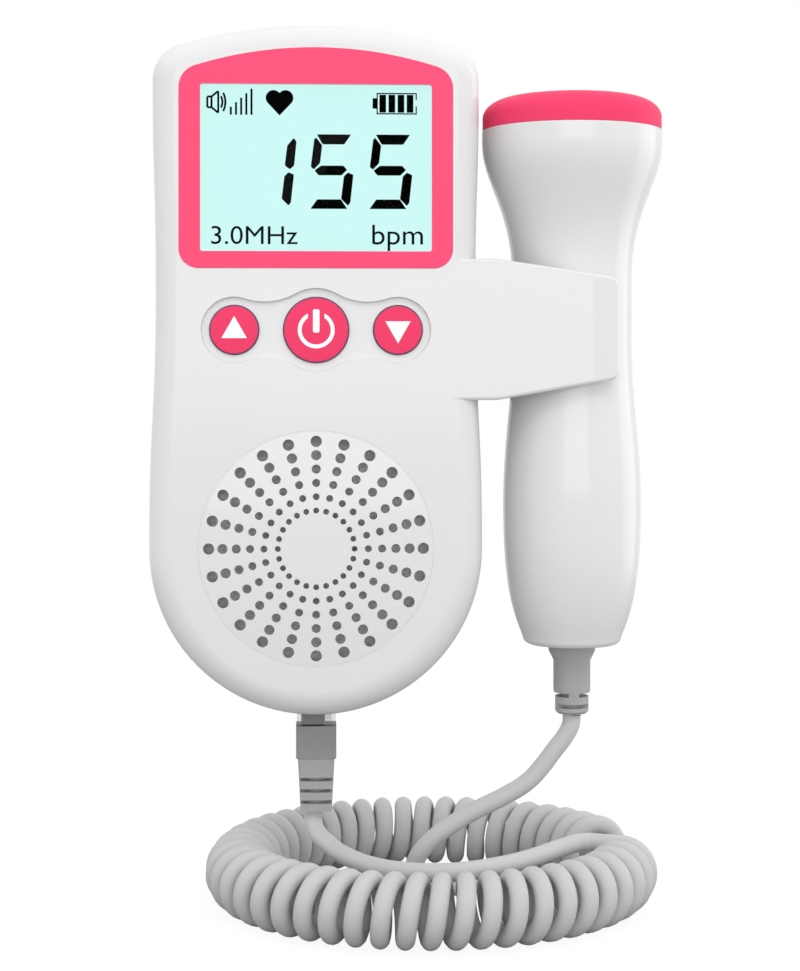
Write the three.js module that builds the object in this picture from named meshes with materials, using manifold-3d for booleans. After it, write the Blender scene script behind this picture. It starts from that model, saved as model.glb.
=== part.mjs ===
// A pocket fetal doppler monitor: a hand unit with display, three buttons and loudspeaker,
// and a probe parked in the holder at its side on a curly cord.
// Millimetres, +Z up, the display faces -Y. The origin lies on the flat rear face,
// on the unit's centre line at half its height.
import * as THREE from 'three';
import { mergeVertices } from 'three/addons/utils/BufferGeometryUtils.js';
import Module from 'manifold-3d';

const wasm = await Module();
wasm.setup();

// Clearances and shared allowances
const fitGap = 0.3; // between pieces that sit on or in each other
const seamGap = 0.1; // between the two halves of a moulded housing
const overrun = 2; // how far every cutter reaches past what it cuts

// Case outline, seen from the front
const caseHeight = 132;
const caseTopZ = caseHeight / 2;
const caseLowZ = -caseHeight / 2;
const bowHalfWidth = 31.9; // widest place, at the top of the round lower end
const bowRise = 31.9; // height of the round lower end
const waistHalfWidth = 30.9;
const waistZ = 16;
const shoulderHalfWidth = 31.6;
const shoulderRadius = 7;
const crownRadius = 91;
const caseEdgeRadius = 5;

// Case walls
const frontWall = 2.4;
const sideWall = 2.2;
const rearWall = 2.2;
const lipHeight = 1.6; // tongue of the rear cover inside the front cover
const lipThickness = 0.9;

// Probe, a turned shape about its own upright axis
const probeX = 50.6;
const headRadius = 17.8;
const handleRadius = 11.8;
const bellyRadius = 13.6;
const tailRadius = 9.8;
const capTopZ = 53.8;
const capSeamZ = 47.4;
const headLowZ = 45;
const handleTopZ = 18;
const handleLowZ = 6;
const bellyZ = -26.5;
const tailZ = -54;
const capEdgeRadius = 3.4;
const tailEdgeRadius = 1.6;
const probeWall = 2;
const capWall = 2;
const headShoulderReach = 8; // tangent lengths of the profile's curves
const headNeckReach = 14;
const bellyReach = 13;
const tailReach = 8;
const tailSlopeShare = 0.34;

// Holder that grips the probe's handle
const clipClearance = 0.6;
const armThickness = 3.1;
const armTipThickness = 1.5;
const hookThickness = 1.6;
const webThickness = 2.5;
const holderRootX = 27.65;
const holderTipX = 58;
const holderRootTopZ = 21.2;
const holderRootLowZ = -5.7;
const holderTipTopZ = 18;
const holderTipLowZ = -1.9;
const holderCornerRadius = 1.9;

// Depths follow the handle: holder arms flush with both faces of the case
const caseDepth = 2 * (handleRadius + clipClearance + armThickness);
const frontY = -caseDepth;
const partingY = frontY / 2;
const probeY = partingY;

// Display
const lensHalfWidth = 25.95;
const lensTopMargin = 4.9; // of the case above the bezel
const lensTopZ = caseTopZ - lensTopMargin;
const lensLowZ = 19.3;
const lensArchRadius = 80;
const lensTopCorner = 4;
const lensLowCorner = 3.7;
const bezelThickness = 1.2;
const bezelProud = 0.15;
const paneThickness = 1;
const paneLap = 1; // how far the clear pane reaches behind the bezel
const windowHalfWidth = 21.95;
const windowTopBorder = 6.9; // of the bezel above the window
const windowTopZ = lensTopZ - windowTopBorder;
const windowLowZ = 22.5;
const lcdBorder = 1.4;
const lcdThickness = 2.2;
const backlightThickness = 3.1;
const backlightHollow = 0.8;
const boardThickness = 1.6;
const boardMargin = 9; // board below the centres of the switches

// Buttons
const buttonZ = 7.6;
const buttonSpacing = 15.5;
const sideButtonRadius = 4.66;
const powerButtonRadius = 6.2;
const sideLobeRadius = 6.3;
const powerLobeRadius = 7.95;
const neckRadius = 11.8;
const recessDepth = 0.8;
const buttonSink = 0.1; // cap top below the case face
const buttonEdgeRadius = 0.5;
const buttonFlange = 1;
const flangeThickness = 0.8;
const buttonTravel = 0.6;
const buttonHoleGap = 0.25;
const buttonFootRadius = 2.2;
const switchSide = 6;
const switchHeight = 3.5;
const stemRadius = 1.75;
const stemOut = 1;
const stemLength = 2.2;

// Loudspeaker and its grille
const grilleShare = 0.256; // of the case's height, from its middle down to the grille's
const grilleZ = -grilleShare * caseHeight;
const grilleRadius = 22.3;
const grilleThickness = 1.2;
const grilleRecess = 0.5;
const holeSpokes = 24;
const holeRings = 6;
const outerRingRadius = 20.3;
const innerRingRadius = 7.25;
const outerHoleRadius = 1.04;
const innerHoleRadius = 0.52;
const seatWidth = 2.3;
const seatDepth = 1.6;
const clothThickness = 0.4;
const speakerRadius = 20;
const speakerRimWidth = 2.6;
const speakerRimThickness = 1;
const basketRadius = 11;
const basketDepth = 5;
const basketWall = 0.7;
const coneThickness = 0.5;
const coneDepthShare = 0.8;
const domeRiseShare = 0.33;
const poleShare = 0.8;
const domeRadius = 5;
const magnetRadius = 9.5;
const magnetThickness = 2.2;

// Battery bay, door and two AA cells
const cellRadius = 7.05;
const cellLength = 50.5;
const cellNubRadius = 2.75;
const cellNubHeight = 1.2;
const cellFootHeight = 0.3; // how far the flat end's contact stands out
const cellSpacing = 14.8;
const bayInset = 20; // from the case's low end to the bay
const bayLowZ = caseLowZ + bayInset;
const bayWall = 2.2;
const bayFloor = 1.2;
const contactThickness = 0.5;
const springRadius = 3;
const springWire = 0.9;
const springTurns = 3;
const springPitch = 1.35;
const springSinkShare = 0.25; // how much of its wire is sunk in the strip
const bumpTopShare = 0.7;
const doorThickness = 2;
const doorRest = 0.9; // how far the door lies on the bay's wall
const doorGap = 0.3;
const tongueWidth = 5;
const tongueOffset = 9;
const tongueThickness = 1.3;
const tongueReach = 2.9;
const tongueRoot = 2.6;
const pullWidth = 12;
const pullDepth = 0.9;
const pullLowReach = 5; // from the door's top edge to the finger recess's two edges
const pullTopReach = 1.7;

// Screws
const upperScrewX = 26.6;
const upperScrewInset = 10.6; // from the case's top
const upperScrewZ = caseTopZ - upperScrewInset;
const lowerScrewX = 21.3;
const lowerScrewInset = 14.4; // from the case's low end
const lowerScrewZ = caseLowZ + lowerScrewInset;
const screwHeadRadius = 2.3;
const screwHeadHeight = 1.6;
const screwEdgeShare = 0.33; // how much of the head's height its crown takes up
const screwCrownShare = 0.6;
const screwShankRadius = 1.1;
const screwLength = 14;
const screwSink = 5;
const pilotRadius = 1.35;
const shankHoleRadius = 1.5;
const bossRadius = 2.8;
const rearBossRadius = 3.4;

// Sockets
const plugWidth = 7.65;
const plugDepth = 6.5;
const plugLength = 11.7;
const plugInsertion = 7.8; // how far the plug reaches into the case
const plugTopZ = caseLowZ + plugInsertion;
const latchWidth = 3;
const latchThickness = 1;
const latchSpread = 1.6;
const jackWall = 1.4;
const jackLip = 0.5;
const jackHeight = 14;
const earBarrelRadius = 2.9;
const earBoreRadius = 1.85;
const earBoreDepth = 10.5;
const earBodyLength = 11.1;
const earBodyHeight = 5.6;
const earZ = 5;
const earSink = 0.5; // barrel's mouth behind the side of the case

// Strain relief at the plug
const bootWidth = 7.9;
const bootDepth = 6.5;
const bootTopZ = plugTopZ - plugLength - fitGap;
const bootBlockHeight = 5.9;
const bootTaperTop = 7.26;
const bootTaperLow = 6.1;
const bootHeight = 16.1;
const bootLowZ = bootTopZ - bootHeight;
const bootSlots = 3;
const bootSlotHeight = 0.7;
const bootSlotPitch = 2.2;
const bootLastRib = 1.5;
const bootCoreRadius = 1.9;
const bootEdgeRadius = 0.9;

// Strain relief at the probe
const probeBootFlange = 4.4;
const probeBootFlangeHeight = 1.4;
const probeBootNeck = 2.9;
const probeBootFlare = 4.6;
const probeBootRadius = 3.65;
const probeBootCore = 1.5;
const probeBootLastRadius = 3.3;
const probeBootChamfer = 0.9;
const probeBootFlareZ = -55.4;
const probeBootBodyZ = -57.3;
const probeBootBodyLowZ = -63.6;
const probeBootRingZ = -64.4;
const probeBootRingLowZ = -65.8;
const probeBootLastZ = -66.6;
const probeBootLowZ = -67.8;

// Cord
const cordDiameter = 3.45;
const floorZ = -105;
const curlOuterRadius = 6.9;
const ringX = 22.7;
const ringHalfX = 37.5;
const ringHalfY = 32.5;
const curlCount = 44.5;
const curlStartAngle = -8; // degrees round the ring, 0 at its right end
const curlEndAngle = -340;
const curlSteps = 8;
const curlSides = 5;
const leadSides = 8;
const leadStepShare = 1.5; // length of a lead's steps, in cord diameters
const ringSamples = 4000;

// Probe inside
const carrierThickness = 2;
const carrierGap = 0.9;
const backingInset = 4.8; // from the head's skin
const backingRadius = headRadius - backingInset;
const piezoInset = 1; // from the backing's rim
const piezoRadius = backingRadius - piezoInset;
const piezoThickness = 1.5;
const piezoSlit = 0.8;
const probeBoardLength = 40;
const probeBoardThickness = 1.2;

// How finely round shapes are cut
const roundSides = 20;
const smallSides = 12;
const grilleSides = 36;
const holeSides = 6;
const smallHoleSides = 5;
const curvePoints = 5;
const innerCurvePoints = 3;
const edgeSteps = 3;
const innerEdgeSteps = 1;
const bowSteps = 18;
const sideSteps = 3;
const cornerSteps = 4;
const crownSteps = 6;
const tinyShare = 1e-4; // what counts as nothing beside a size
const coarseRingShare = 0.5; // the inner rings of holes are cut with fewer sides

// Solids from geometries

function signedVolume(position, index) {
  const a = new THREE.Vector3();
  const b = new THREE.Vector3();
  const c = new THREE.Vector3();
  let sum = 0;
  for (let i = 0; i < index.length; i += 3) {
    a.fromBufferAttribute(position, index[i]);
    b.fromBufferAttribute(position, index[i + 1]);
    c.fromBufferAttribute(position, index[i + 2]);
    sum += a.dot(b.cross(c)) / 6;
  }
  return sum;
}

// A closed geometry, with its shared vertices merged, as a solid facing out
function solidOf(geometry) {
  const bare = geometry.clone();
  bare.deleteAttribute('normal');
  bare.deleteAttribute('uv');
  const merged = mergeVertices(bare, cordDiameter * tinyShare);
  const index = [];
  const source = merged.index.array;
  for (let i = 0; i < source.length; i += 3) {
    const [p, q, r] = [source[i], source[i + 1], source[i + 2]];
    if (p !== q && q !== r && r !== p) index.push(p, q, r);
  }
  if (signedVolume(merged.attributes.position, index) < 0) index.reverse();
  const mesh = new wasm.Mesh({
    numProp: 3,
    vertProperties: new Float32Array(merged.attributes.position.array),
    triVerts: new Uint32Array(index),
  });
  return new wasm.Manifold(mesh);
}

function geometryOf(solid) {
  const mesh = solid.getMesh();
  const geometry = new THREE.BufferGeometry();
  geometry.setAttribute('position', new THREE.BufferAttribute(mesh.vertProperties, 3));
  geometry.setIndex(new THREE.BufferAttribute(mesh.triVerts, 1));
  return geometry;
}

const joined = (first, ...rest) => rest.reduce((sum, solid) => sum.add(solid), first);
const cut = (first, ...rest) => rest.reduce((sum, solid) => sum.subtract(solid), first);

function box(x0, x1, y0, y1, z0, z1) {
  const geometry = new THREE.BoxGeometry(x1 - x0, y1 - y0, z1 - z0);
  geometry.translate((x0 + x1) / 2, (y0 + y1) / 2, (z0 + z1) / 2);
  return solidOf(geometry);
}

// A box that is symmetrical about x = 0
const wideBox = (halfX, y0, y1, z0, z1) => box(-halfX, halfX, y0, y1, z0, z1);

// An outline drawn in x and z, pushed from y0 back to y1
function plate(shape, y0, y1) {
  const settings = { depth: y1 - y0, bevelEnabled: false, curveSegments: curvePoints };
  const geometry = new THREE.ExtrudeGeometry(shape, settings);
  geometry.rotateX(Math.PI / 2);
  geometry.translate(0, y1, 0);
  return solidOf(geometry);
}

// The same with both edges rounded
function pillow(shape, y0, y1, radius, steps) {
  const geometry = new THREE.ExtrudeGeometry(shape, {
    depth: y1 - y0 - 2 * radius,
    bevelEnabled: true,
    bevelThickness: radius,
    bevelSize: radius,
    bevelOffset: -radius,
    bevelSegments: steps,
    curveSegments: curvePoints,
  });
  geometry.rotateX(Math.PI / 2);
  geometry.translate(0, y1 - radius, 0);
  return solidOf(geometry);
}

// An outline drawn in x and y, pushed up from z0 to z1
function slab(shape, z0, z1) {
  const settings = { depth: z1 - z0, bevelEnabled: false, curveSegments: curvePoints };
  const geometry = new THREE.ExtrudeGeometry(shape, settings);
  geometry.translate(0, 0, z0);
  return solidOf(geometry);
}

// A round bar along y
function barY(radius, x, z, y0, y1, sides = roundSides) {
  const geometry = new THREE.CylinderGeometry(radius, radius, y1 - y0, sides);
  geometry.translate(x, (y0 + y1) / 2, z);
  return solidOf(geometry);
}

// A round bar along x
function barX(radius, x0, x1, y, z) {
  const geometry = new THREE.CylinderGeometry(radius, radius, x1 - x0, smallSides);
  geometry.rotateZ(Math.PI / 2);
  geometry.translate((x0 + x1) / 2, y, z);
  return solidOf(geometry);
}

// A profile of [radius, z] turned about an upright axis
function turnedZ(profile, x, y, sides = roundSides) {
  const points = profile.map(([r, z]) => new THREE.Vector2(r, z));
  const geometry = new THREE.LatheGeometry(points, sides);
  geometry.rotateX(Math.PI / 2);
  geometry.translate(x, y, 0);
  return solidOf(geometry);
}

// A profile of [radius, y] turned about an axis that points from front to back
function turnedY(profile, x, z, sides = roundSides) {
  const points = profile.map(([r, y]) => new THREE.Vector2(r, y));
  const geometry = new THREE.LatheGeometry(points, sides);
  geometry.translate(x, 0, z);
  return solidOf(geometry);
}

// A rectangle with rounded corners, symmetrical about its upright middle line
function rectangle(halfX, z0, z1, radius) {
  const shape = new THREE.Shape();
  shape.absarc(halfX - radius, z0 + radius, radius, -Math.PI / 2, 0);
  shape.absarc(halfX - radius, z1 - radius, radius, 0, Math.PI / 2);
  shape.absarc(radius - halfX, z1 - radius, radius, Math.PI / 2, Math.PI);
  shape.absarc(radius - halfX, z0 + radius, radius, Math.PI, Math.PI * 1.5);
  return shape;
}

// Where a corner arc between an upright side and a crown arc has its centre and its end
function crownCorner(halfX, topZ, crown, corner) {
  const crownZ = topZ - crown;
  const x = halfX - corner;
  const z = crownZ + Math.sqrt((crown - corner) ** 2 - x ** 2);
  return { x, z, crownZ, angle: Math.atan2(z - crownZ, x) };
}

// The right corner, the crown and the left corner of an arched top
function drawCrown(shape, halfX, topZ, crown, corner) {
  const c = crownCorner(halfX, topZ, crown, corner);
  shape.absarc(c.x, c.z, corner, 0, c.angle);
  shape.absarc(0, c.crownZ, crown, c.angle, Math.PI - c.angle);
  shape.absarc(-c.x, c.z, corner, Math.PI - c.angle, Math.PI);
}

function arcPoints(x, z, radiusX, radiusZ, from, to, steps) {
  const points = [];
  for (let i = 0; i <= steps; i += 1) {
    const angle = from + ((to - from) * i) / steps;
    points.push(new THREE.Vector2(x + radiusX * Math.cos(angle), z + radiusZ * Math.sin(angle)));
  }
  return points;
}

// Side of the case from the bow up over the waist to the shoulder
function sidePoints(bowX, bowZ, waistX, sideX, sideZ) {
  const lowReach = (waistZ - bowZ) / 2;
  const highReach = (sideZ - waistZ) / 2;
  const place = (x, z) => new THREE.Vector2(x, z);
  const low = new THREE.CubicBezierCurve(place(bowX, bowZ), place(bowX, bowZ + lowReach),
    place(waistX, waistZ - lowReach), place(waistX, waistZ));
  const high = new THREE.CubicBezierCurve(place(waistX, waistZ), place(waistX, waistZ + highReach),
    place(sideX, sideZ - highReach), place(sideX, sideZ));
  return [...low.getPoints(sideSteps).slice(1), ...high.getPoints(sideSteps).slice(1, -1)];
}

// Case outline, drawn in by an inset all round
function caseOutline(inset) {
  const bowX = bowHalfWidth - inset;
  const bowZ = caseLowZ + bowRise;
  const sideX = shoulderHalfWidth - inset;
  const crown = crownRadius - inset;
  const shoulder = shoulderRadius - inset;
  const corner = crownCorner(sideX, caseTopZ - inset, crown, shoulder);
  const right = sidePoints(bowX, bowZ, waistHalfWidth - inset, sideX, corner.z);
  const left = right.map((p) => new THREE.Vector2(-p.x, p.y)).reverse();
  return new THREE.Shape([
    ...arcPoints(0, bowZ, bowX, bowRise - inset, Math.PI, 2 * Math.PI, bowSteps),
    ...right,
    ...arcPoints(corner.x, corner.z, shoulder, shoulder, 0, corner.angle, cornerSteps),
    ...arcPoints(0, corner.crownZ, crown, crown, corner.angle, Math.PI - corner.angle, crownSteps)
      .slice(1, -1),
    ...arcPoints(-corner.x, corner.z, shoulder, shoulder, Math.PI - corner.angle, Math.PI, cornerSteps),
    ...left,
  ]);
}

// A box over the display window, grown all round
function windowBox(growth, y0, y1) {
  return wideBox(windowHalfWidth + growth, y0, y1, windowLowZ - growth, windowTopZ + growth);
}

function lensOutline(growth) {
  const halfX = lensHalfWidth + growth;
  const low = lensLowCorner + growth;
  const shape = new THREE.Shape();
  shape.absarc(halfX - low, lensLowZ - growth + low, low, -Math.PI / 2, 0);
  drawCrown(shape, halfX, lensTopZ + growth, lensArchRadius + growth, lensTopCorner + growth);
  shape.absarc(low - halfX, lensLowZ - growth + low, low, Math.PI, Math.PI * 1.5);
  return shape;
}

// Three lobes round the buttons, joined by hollow necks that touch both lobes
function lobedOutline() {
  const sideReach = sideLobeRadius + neckRadius;
  const middleReach = powerLobeRadius + neckRadius;
  const neckX = (buttonSpacing ** 2 + middleReach ** 2 - sideReach ** 2) / (2 * buttonSpacing);
  const neckZ = Math.sqrt(middleReach ** 2 - neckX ** 2);
  const side = Math.atan2(neckZ, neckX - buttonSpacing);
  const middle = Math.atan2(neckZ, neckX);
  const turn = Math.PI;
  const shape = new THREE.Shape();
  shape.absarc(buttonSpacing, buttonZ, sideLobeRadius, -side, side);
  shape.absarc(neckX, buttonZ + neckZ, neckRadius, side + turn, middle + turn, true);
  shape.absarc(0, buttonZ, powerLobeRadius, middle, turn - middle);
  shape.absarc(-neckX, buttonZ + neckZ, neckRadius, -middle, -side, true);
  shape.absarc(-buttonSpacing, buttonZ, sideLobeRadius, turn - side, turn + side);
  shape.absarc(-neckX, buttonZ - neckZ, neckRadius, side, middle, true);
  shape.absarc(0, buttonZ, powerLobeRadius, turn + middle, 2 * turn - middle);
  shape.absarc(neckX, buttonZ - neckZ, neckRadius, turn - middle, turn - side, true);
  return shape;
}

// Depth of each layer, counted from the case's front face
const lcdDepth = frontWall + fitGap;
const backlightDepth = lcdDepth + lcdThickness + fitGap;
const boardDepth = backlightDepth + backlightThickness + fitGap;
const ledgeDepth = grilleRecess + grilleThickness + fitGap;
const clothDepth = ledgeDepth + seatDepth + fitGap;
const speakerDepth = clothDepth + clothThickness + fitGap;
const basketEnd = speakerDepth + speakerRimThickness + basketDepth;
const cellY = -doorThickness - fitGap - cellRadius;
const bayFloorY = cellY - cellRadius - fitGap;
const bayHalfWidth = cellSpacing / 2 + cellRadius + fitGap;
const springHeight = springTurns * springPitch + springWire;
const cellLowZ = bayLowZ + contactThickness + springHeight + 2 * fitGap;
const bayTopZ = cellLowZ + cellLength + 2 * fitGap + contactThickness + cellFootHeight;
const doorHalfWidth = bayHalfWidth + doorRest;
const doorLowZ = bayLowZ - doorRest;
const doorTopZ = bayTopZ + doorRest;

// Unit housing

const innerCase = () =>
  pillow(caseOutline(sideWall), frontY + frontWall, -rearWall, caseEdgeRadius - sideWall, innerEdgeSteps);

const outerCase = () => pillow(caseOutline(0), frontY, 0, caseEdgeRadius, edgeSteps);

function caseShell() {
  return cut(outerCase(), innerCase());
}

const caseReach = caseTopZ + overrun;
const frontSide = (y) => wideBox(caseReach, frontY - overrun, y, -caseReach, caseReach);
const rearSide = (y) => wideBox(caseReach, y, overrun, -caseReach, caseReach);

const screwPlaces = [
  [upperScrewX, upperScrewZ],
  [-upperScrewX, upperScrewZ],
  [lowerScrewX, lowerScrewZ],
  [-lowerScrewX, lowerScrewZ],
];

// The notches that the holder's hooks lie in
function holderNotches() {
  const depth = hookThickness + fitGap;
  const low = holderRootLowZ - fitGap;
  const high = holderRootTopZ + fitGap;
  const x0 = holderRootX - fitGap;
  const x1 = bowHalfWidth + overrun;
  return joined(
    box(x0, x1, frontY - overrun, frontY + depth, low, high),
    box(x0, x1, -depth, overrun, low, high),
  );
}

const jackHalfWidth = plugWidth / 2 + fitGap + jackWall;
const jackFrontY = partingY - plugDepth / 2 - fitGap - jackWall;
const jackRearY = partingY + plugDepth / 2 + latchSpread + 2 * fitGap + jackWall;
const jackLowZ = caseLowZ - jackLip;
const earLeftX = -waistHalfWidth + earSink;

function socketOpenings() {
  const jack = wideBox(
    jackHalfWidth + fitGap,
    jackFrontY - fitGap,
    jackRearY + fitGap,
    jackLowZ - overrun,
    caseLowZ + sideWall + overrun,
  );
  const ear = barX(earBarrelRadius + fitGap, -bowHalfWidth - overrun, overrun - waistHalfWidth + sideWall,
    partingY, earZ);
  return joined(jack, ear);
}

function frontBoss([x, z]) {
  return barY(bossRadius, x, z, frontY + frontWall / 2, partingY - seamGap, smallSides);
}

function frontPilot([x, z]) {
  return barY(pilotRadius, x, z, frontY + frontWall + caseEdgeRadius, partingY + overrun, smallSides);
}

function buttonHole(x, radius) {
  return barY(radius + buttonHoleGap, x, buttonZ, frontY - overrun, frontY + frontWall + overrun);
}

function makeFrontCover() {
  const shell = caseShell().intersect(frontSide(partingY - seamGap / 2));
  const seatRing = barY(grilleRadius + seatWidth / 2, 0, grilleZ, frontY + frontWall / 2,
    frontY + ledgeDepth + seatDepth);
  const bosses = screwPlaces.map(frontBoss);
  const body = joined(shell, seatRing, ...bosses).intersect(outerCase());
  const lipInset = sideWall - lipThickness - fitGap / 2;
  const groove = plate(caseOutline(lipInset), partingY - lipHeight - fitGap, partingY + overrun);
  const kept = screwPlaces.map(([x, z]) =>
    barY(bossRadius, x, z, partingY - 2 * lipHeight, partingY, smallSides));
  return cut(
    body,
    cut(groove, ...kept),
    plate(lensOutline(fitGap), frontY - overrun, frontY + bezelThickness - bezelProud + seamGap),
    windowBox(paneLap, frontY - overrun, frontY + frontWall + overrun),
    plate(lobedOutline(), frontY - overrun, frontY + recessDepth),
    buttonHole(-buttonSpacing, sideButtonRadius),
    buttonHole(0, powerButtonRadius),
    buttonHole(buttonSpacing, sideButtonRadius),
    barY(grilleRadius + fitGap, 0, grilleZ, frontY - overrun, frontY + ledgeDepth),
    barY(grilleRadius - seatWidth / 2, 0, grilleZ, frontY - overrun,
      frontY + ledgeDepth + seatDepth + overrun),
    ...screwPlaces.map(frontPilot),
    holderNotches(),
    socketOpenings(),
  );
}

const hingeZ = doorLowZ - doorGap / 2;

function makeRearCover() {
  const shell = caseShell().intersect(rearSide(partingY + seamGap / 2));
  const lipOuter = plate(caseOutline(sideWall - lipThickness + fitGap / 2), partingY - lipHeight,
    partingY + lipHeight);
  const lipInner = plate(caseOutline(sideWall), partingY - 2 * lipHeight, partingY + 2 * lipHeight);
  const lip = cut(lipOuter, lipInner);
  const bossRoom = screwPlaces.map(([x, z]) =>
    barY(bossRadius + fitGap, x, z, partingY - 2 * lipHeight, partingY + seamGap / 2, smallSides));
  const bosses = screwPlaces.map(([x, z]) =>
    barY(rearBossRadius, x, z, partingY + seamGap / 2, -rearWall / 2, smallSides));
  const bay = wideBox(bayHalfWidth + bayWall, bayFloorY - bayFloor, -rearWall / 2, bayLowZ - bayWall,
    bayTopZ + bayWall);
  const body = joined(shell, cut(lip, ...bossRoom), ...bosses, bay).intersect(outerCase());
  const cuts = [
    wideBox(bayHalfWidth, bayFloorY, overrun, bayLowZ, bayTopZ),
    wideBox(doorHalfWidth + doorGap, -doorThickness - fitGap, overrun, hingeZ - doorGap / 2,
      doorTopZ + doorGap),
    holderNotches(),
    socketOpenings(),
  ];
  for (const side of [-1, 1]) {
    const x = side * tongueOffset;
    const half = tongueWidth / 2 + fitGap;
    const swing = Math.hypot(tongueReach + doorGap, doorThickness + tongueThickness + 2 * fitGap) + fitGap;
    cuts.push(box(x - half, x + half, -swing, -rearWall, bayLowZ - bayWall - overrun, bayLowZ + overrun));
  }
  for (const [x, z] of screwPlaces) {
    cuts.push(barY(screwHeadRadius + fitGap, x, z, -screwSink - screwHeadHeight, overrun, smallSides));
    cuts.push(barY(shankHoleRadius, x, z, partingY - overrun, overrun, smallSides));
  }
  return cut(body, ...cuts);
}

// A pan head sunk in the rear cover, its shank in the front cover's boss
function makeCaseScrew([x, z]) {
  const headY = -screwSink;
  const seatY = headY - screwHeadHeight + fitGap;
  return turnedY([
    [0, headY - screwLength],
    [screwShankRadius, headY - screwLength],
    [screwShankRadius, seatY],
    [screwHeadRadius, seatY],
    [screwHeadRadius, headY - screwHeadHeight * screwEdgeShare],
    [screwHeadRadius * screwCrownShare, headY],
    [0, headY],
  ], x, z, smallSides);
}

// Loudspeaker grille: holes on spokes, growing from the inner ring to the outer

// A circle as a closed outline of straight sides
function ringOutline(Kind, x, y, radius, sides) {
  const points = [];
  for (let i = 0; i < sides; i += 1) {
    const angle = (i / sides) * 2 * Math.PI;
    points.push(new THREE.Vector2(x + radius * Math.cos(angle), y + radius * Math.sin(angle)));
  }
  return new Kind(points);
}

function grilleHoles() {
  const holes = [];
  for (let ring = 0; ring < holeRings; ring += 1) {
    const share = ring / (holeRings - 1);
    const radius = THREE.MathUtils.lerp(innerRingRadius, outerRingRadius, share);
    const holeRadius = THREE.MathUtils.lerp(innerHoleRadius, outerHoleRadius, share);
    for (let spoke = 0; spoke < holeSpokes; spoke += 1) {
      const angle = (spoke / holeSpokes) * 2 * Math.PI;
      const x = radius * Math.cos(angle);
      const z = grilleZ + radius * Math.sin(angle);
      const sides = share < coarseRingShare ? smallHoleSides : holeSides;
      holes.push(ringOutline(THREE.Path, x, z, holeRadius, sides));
    }
  }
  return holes;
}

function makeGrille() {
  const y0 = frontY + grilleRecess;
  const disc = ringOutline(THREE.Shape, 0, grilleZ, grilleRadius, grilleSides);
  disc.holes = grilleHoles();
  return plate(disc, y0, y0 + grilleThickness);
}

// Display stack

// The printed frame round the display
function makeBezel() {
  const y0 = frontY - bezelProud;
  const y1 = y0 + bezelThickness;
  return cut(plate(lensOutline(0), y0, y1), windowBox(0, y0 - overrun, y1 + overrun));
}

// The clear pane, trapped between the bezel and the liquid crystal
function makePane() {
  const y0 = frontY - bezelProud + bezelThickness + seamGap;
  return windowBox(paneLap - fitGap, y0, y0 + paneThickness);
}

function makeLcdPanel() {
  const y0 = frontY + lcdDepth;
  return windowBox(lcdBorder, y0, y0 + lcdThickness);
}

// The light guide's tray, hollowed under the glass
function makeBacklight() {
  const y0 = frontY + backlightDepth;
  const tray = windowBox(lcdBorder, y0, y0 + backlightThickness);
  return cut(tray, windowBox(0, y0 - overrun, y0 + backlightHollow));
}

const boardLowZ = buttonZ - boardMargin;

function makeMainBoard() {
  const y0 = frontY + boardDepth;
  const blank = plate(caseOutline(sideWall + 2 * fitGap), y0, y0 + boardThickness);
  const upper = wideBox(bowHalfWidth, y0 - overrun, y0 + boardThickness + overrun, boardLowZ, caseTopZ);
  const holes = screwPlaces.map(([x, z]) =>
    barY(bossRadius + fitGap, x, z, y0 - overrun, y0 + boardThickness + overrun, smallSides));
  return cut(blank.intersect(upper), ...holes);
}

// Buttons

const stemTopY = frontY + boardDepth - fitGap - switchHeight - stemOut;

// A cap with a rounded rim, a flange behind the case wall and a foot on the switch's stem
function makeButton(x, radius) {
  const topY = frontY + buttonSink;
  const flangeY = frontY + frontWall + fitGap;
  const edge = [];
  for (let i = 0; i <= edgeSteps; i += 1) {
    const angle = (i / edgeSteps) * (Math.PI / 2);
    edge.push([
      radius - buttonEdgeRadius * (1 - Math.sin(angle)),
      topY + buttonEdgeRadius * (1 - Math.cos(angle)),
    ]);
  }
  return turnedY([
    [0, topY],
    ...edge,
    [radius, flangeY],
    [radius + buttonFlange, flangeY],
    [radius + buttonFlange, flangeY + flangeThickness],
    [buttonFootRadius, flangeY + flangeThickness],
    [buttonFootRadius, stemTopY - seamGap / 2],
    [0, stemTopY - seamGap / 2],
  ], x, buttonZ);
}

function makeSwitch(x) {
  const rearY = frontY + boardDepth - fitGap;
  const half = switchSide / 2;
  const body = box(x - half, x + half, rearY - switchHeight, rearY, buttonZ - half, buttonZ + half);
  const well = barY(stemRadius + fitGap, x, buttonZ, rearY - switchHeight - overrun,
    stemTopY + stemLength + buttonTravel + fitGap, smallSides);
  return cut(body, well);
}

const makeStem = (x) => barY(stemRadius, x, buttonZ, stemTopY, stemTopY + stemLength, smallSides);

// Loudspeaker

function makeCloth() {
  const y0 = frontY + clothDepth;
  return barY(speakerRadius, 0, grilleZ, y0, y0 + clothThickness);
}

function makeSpeakerFrame() {
  const y0 = frontY + speakerDepth;
  const rimY = y0 + speakerRimThickness;
  const endY = frontY + basketEnd;
  const inner = speakerRadius - speakerRimWidth;
  return turnedY([
    [inner, y0],
    [speakerRadius, y0],
    [speakerRadius, rimY],
    [inner + basketWall, rimY],
    [basketRadius, endY],
    [domeRadius, endY],
    [domeRadius, endY - basketWall],
    [basketRadius - basketWall, endY - basketWall],
    [inner, rimY],
    [inner, y0],
  ], 0, grilleZ, smallSides);
}

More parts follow.
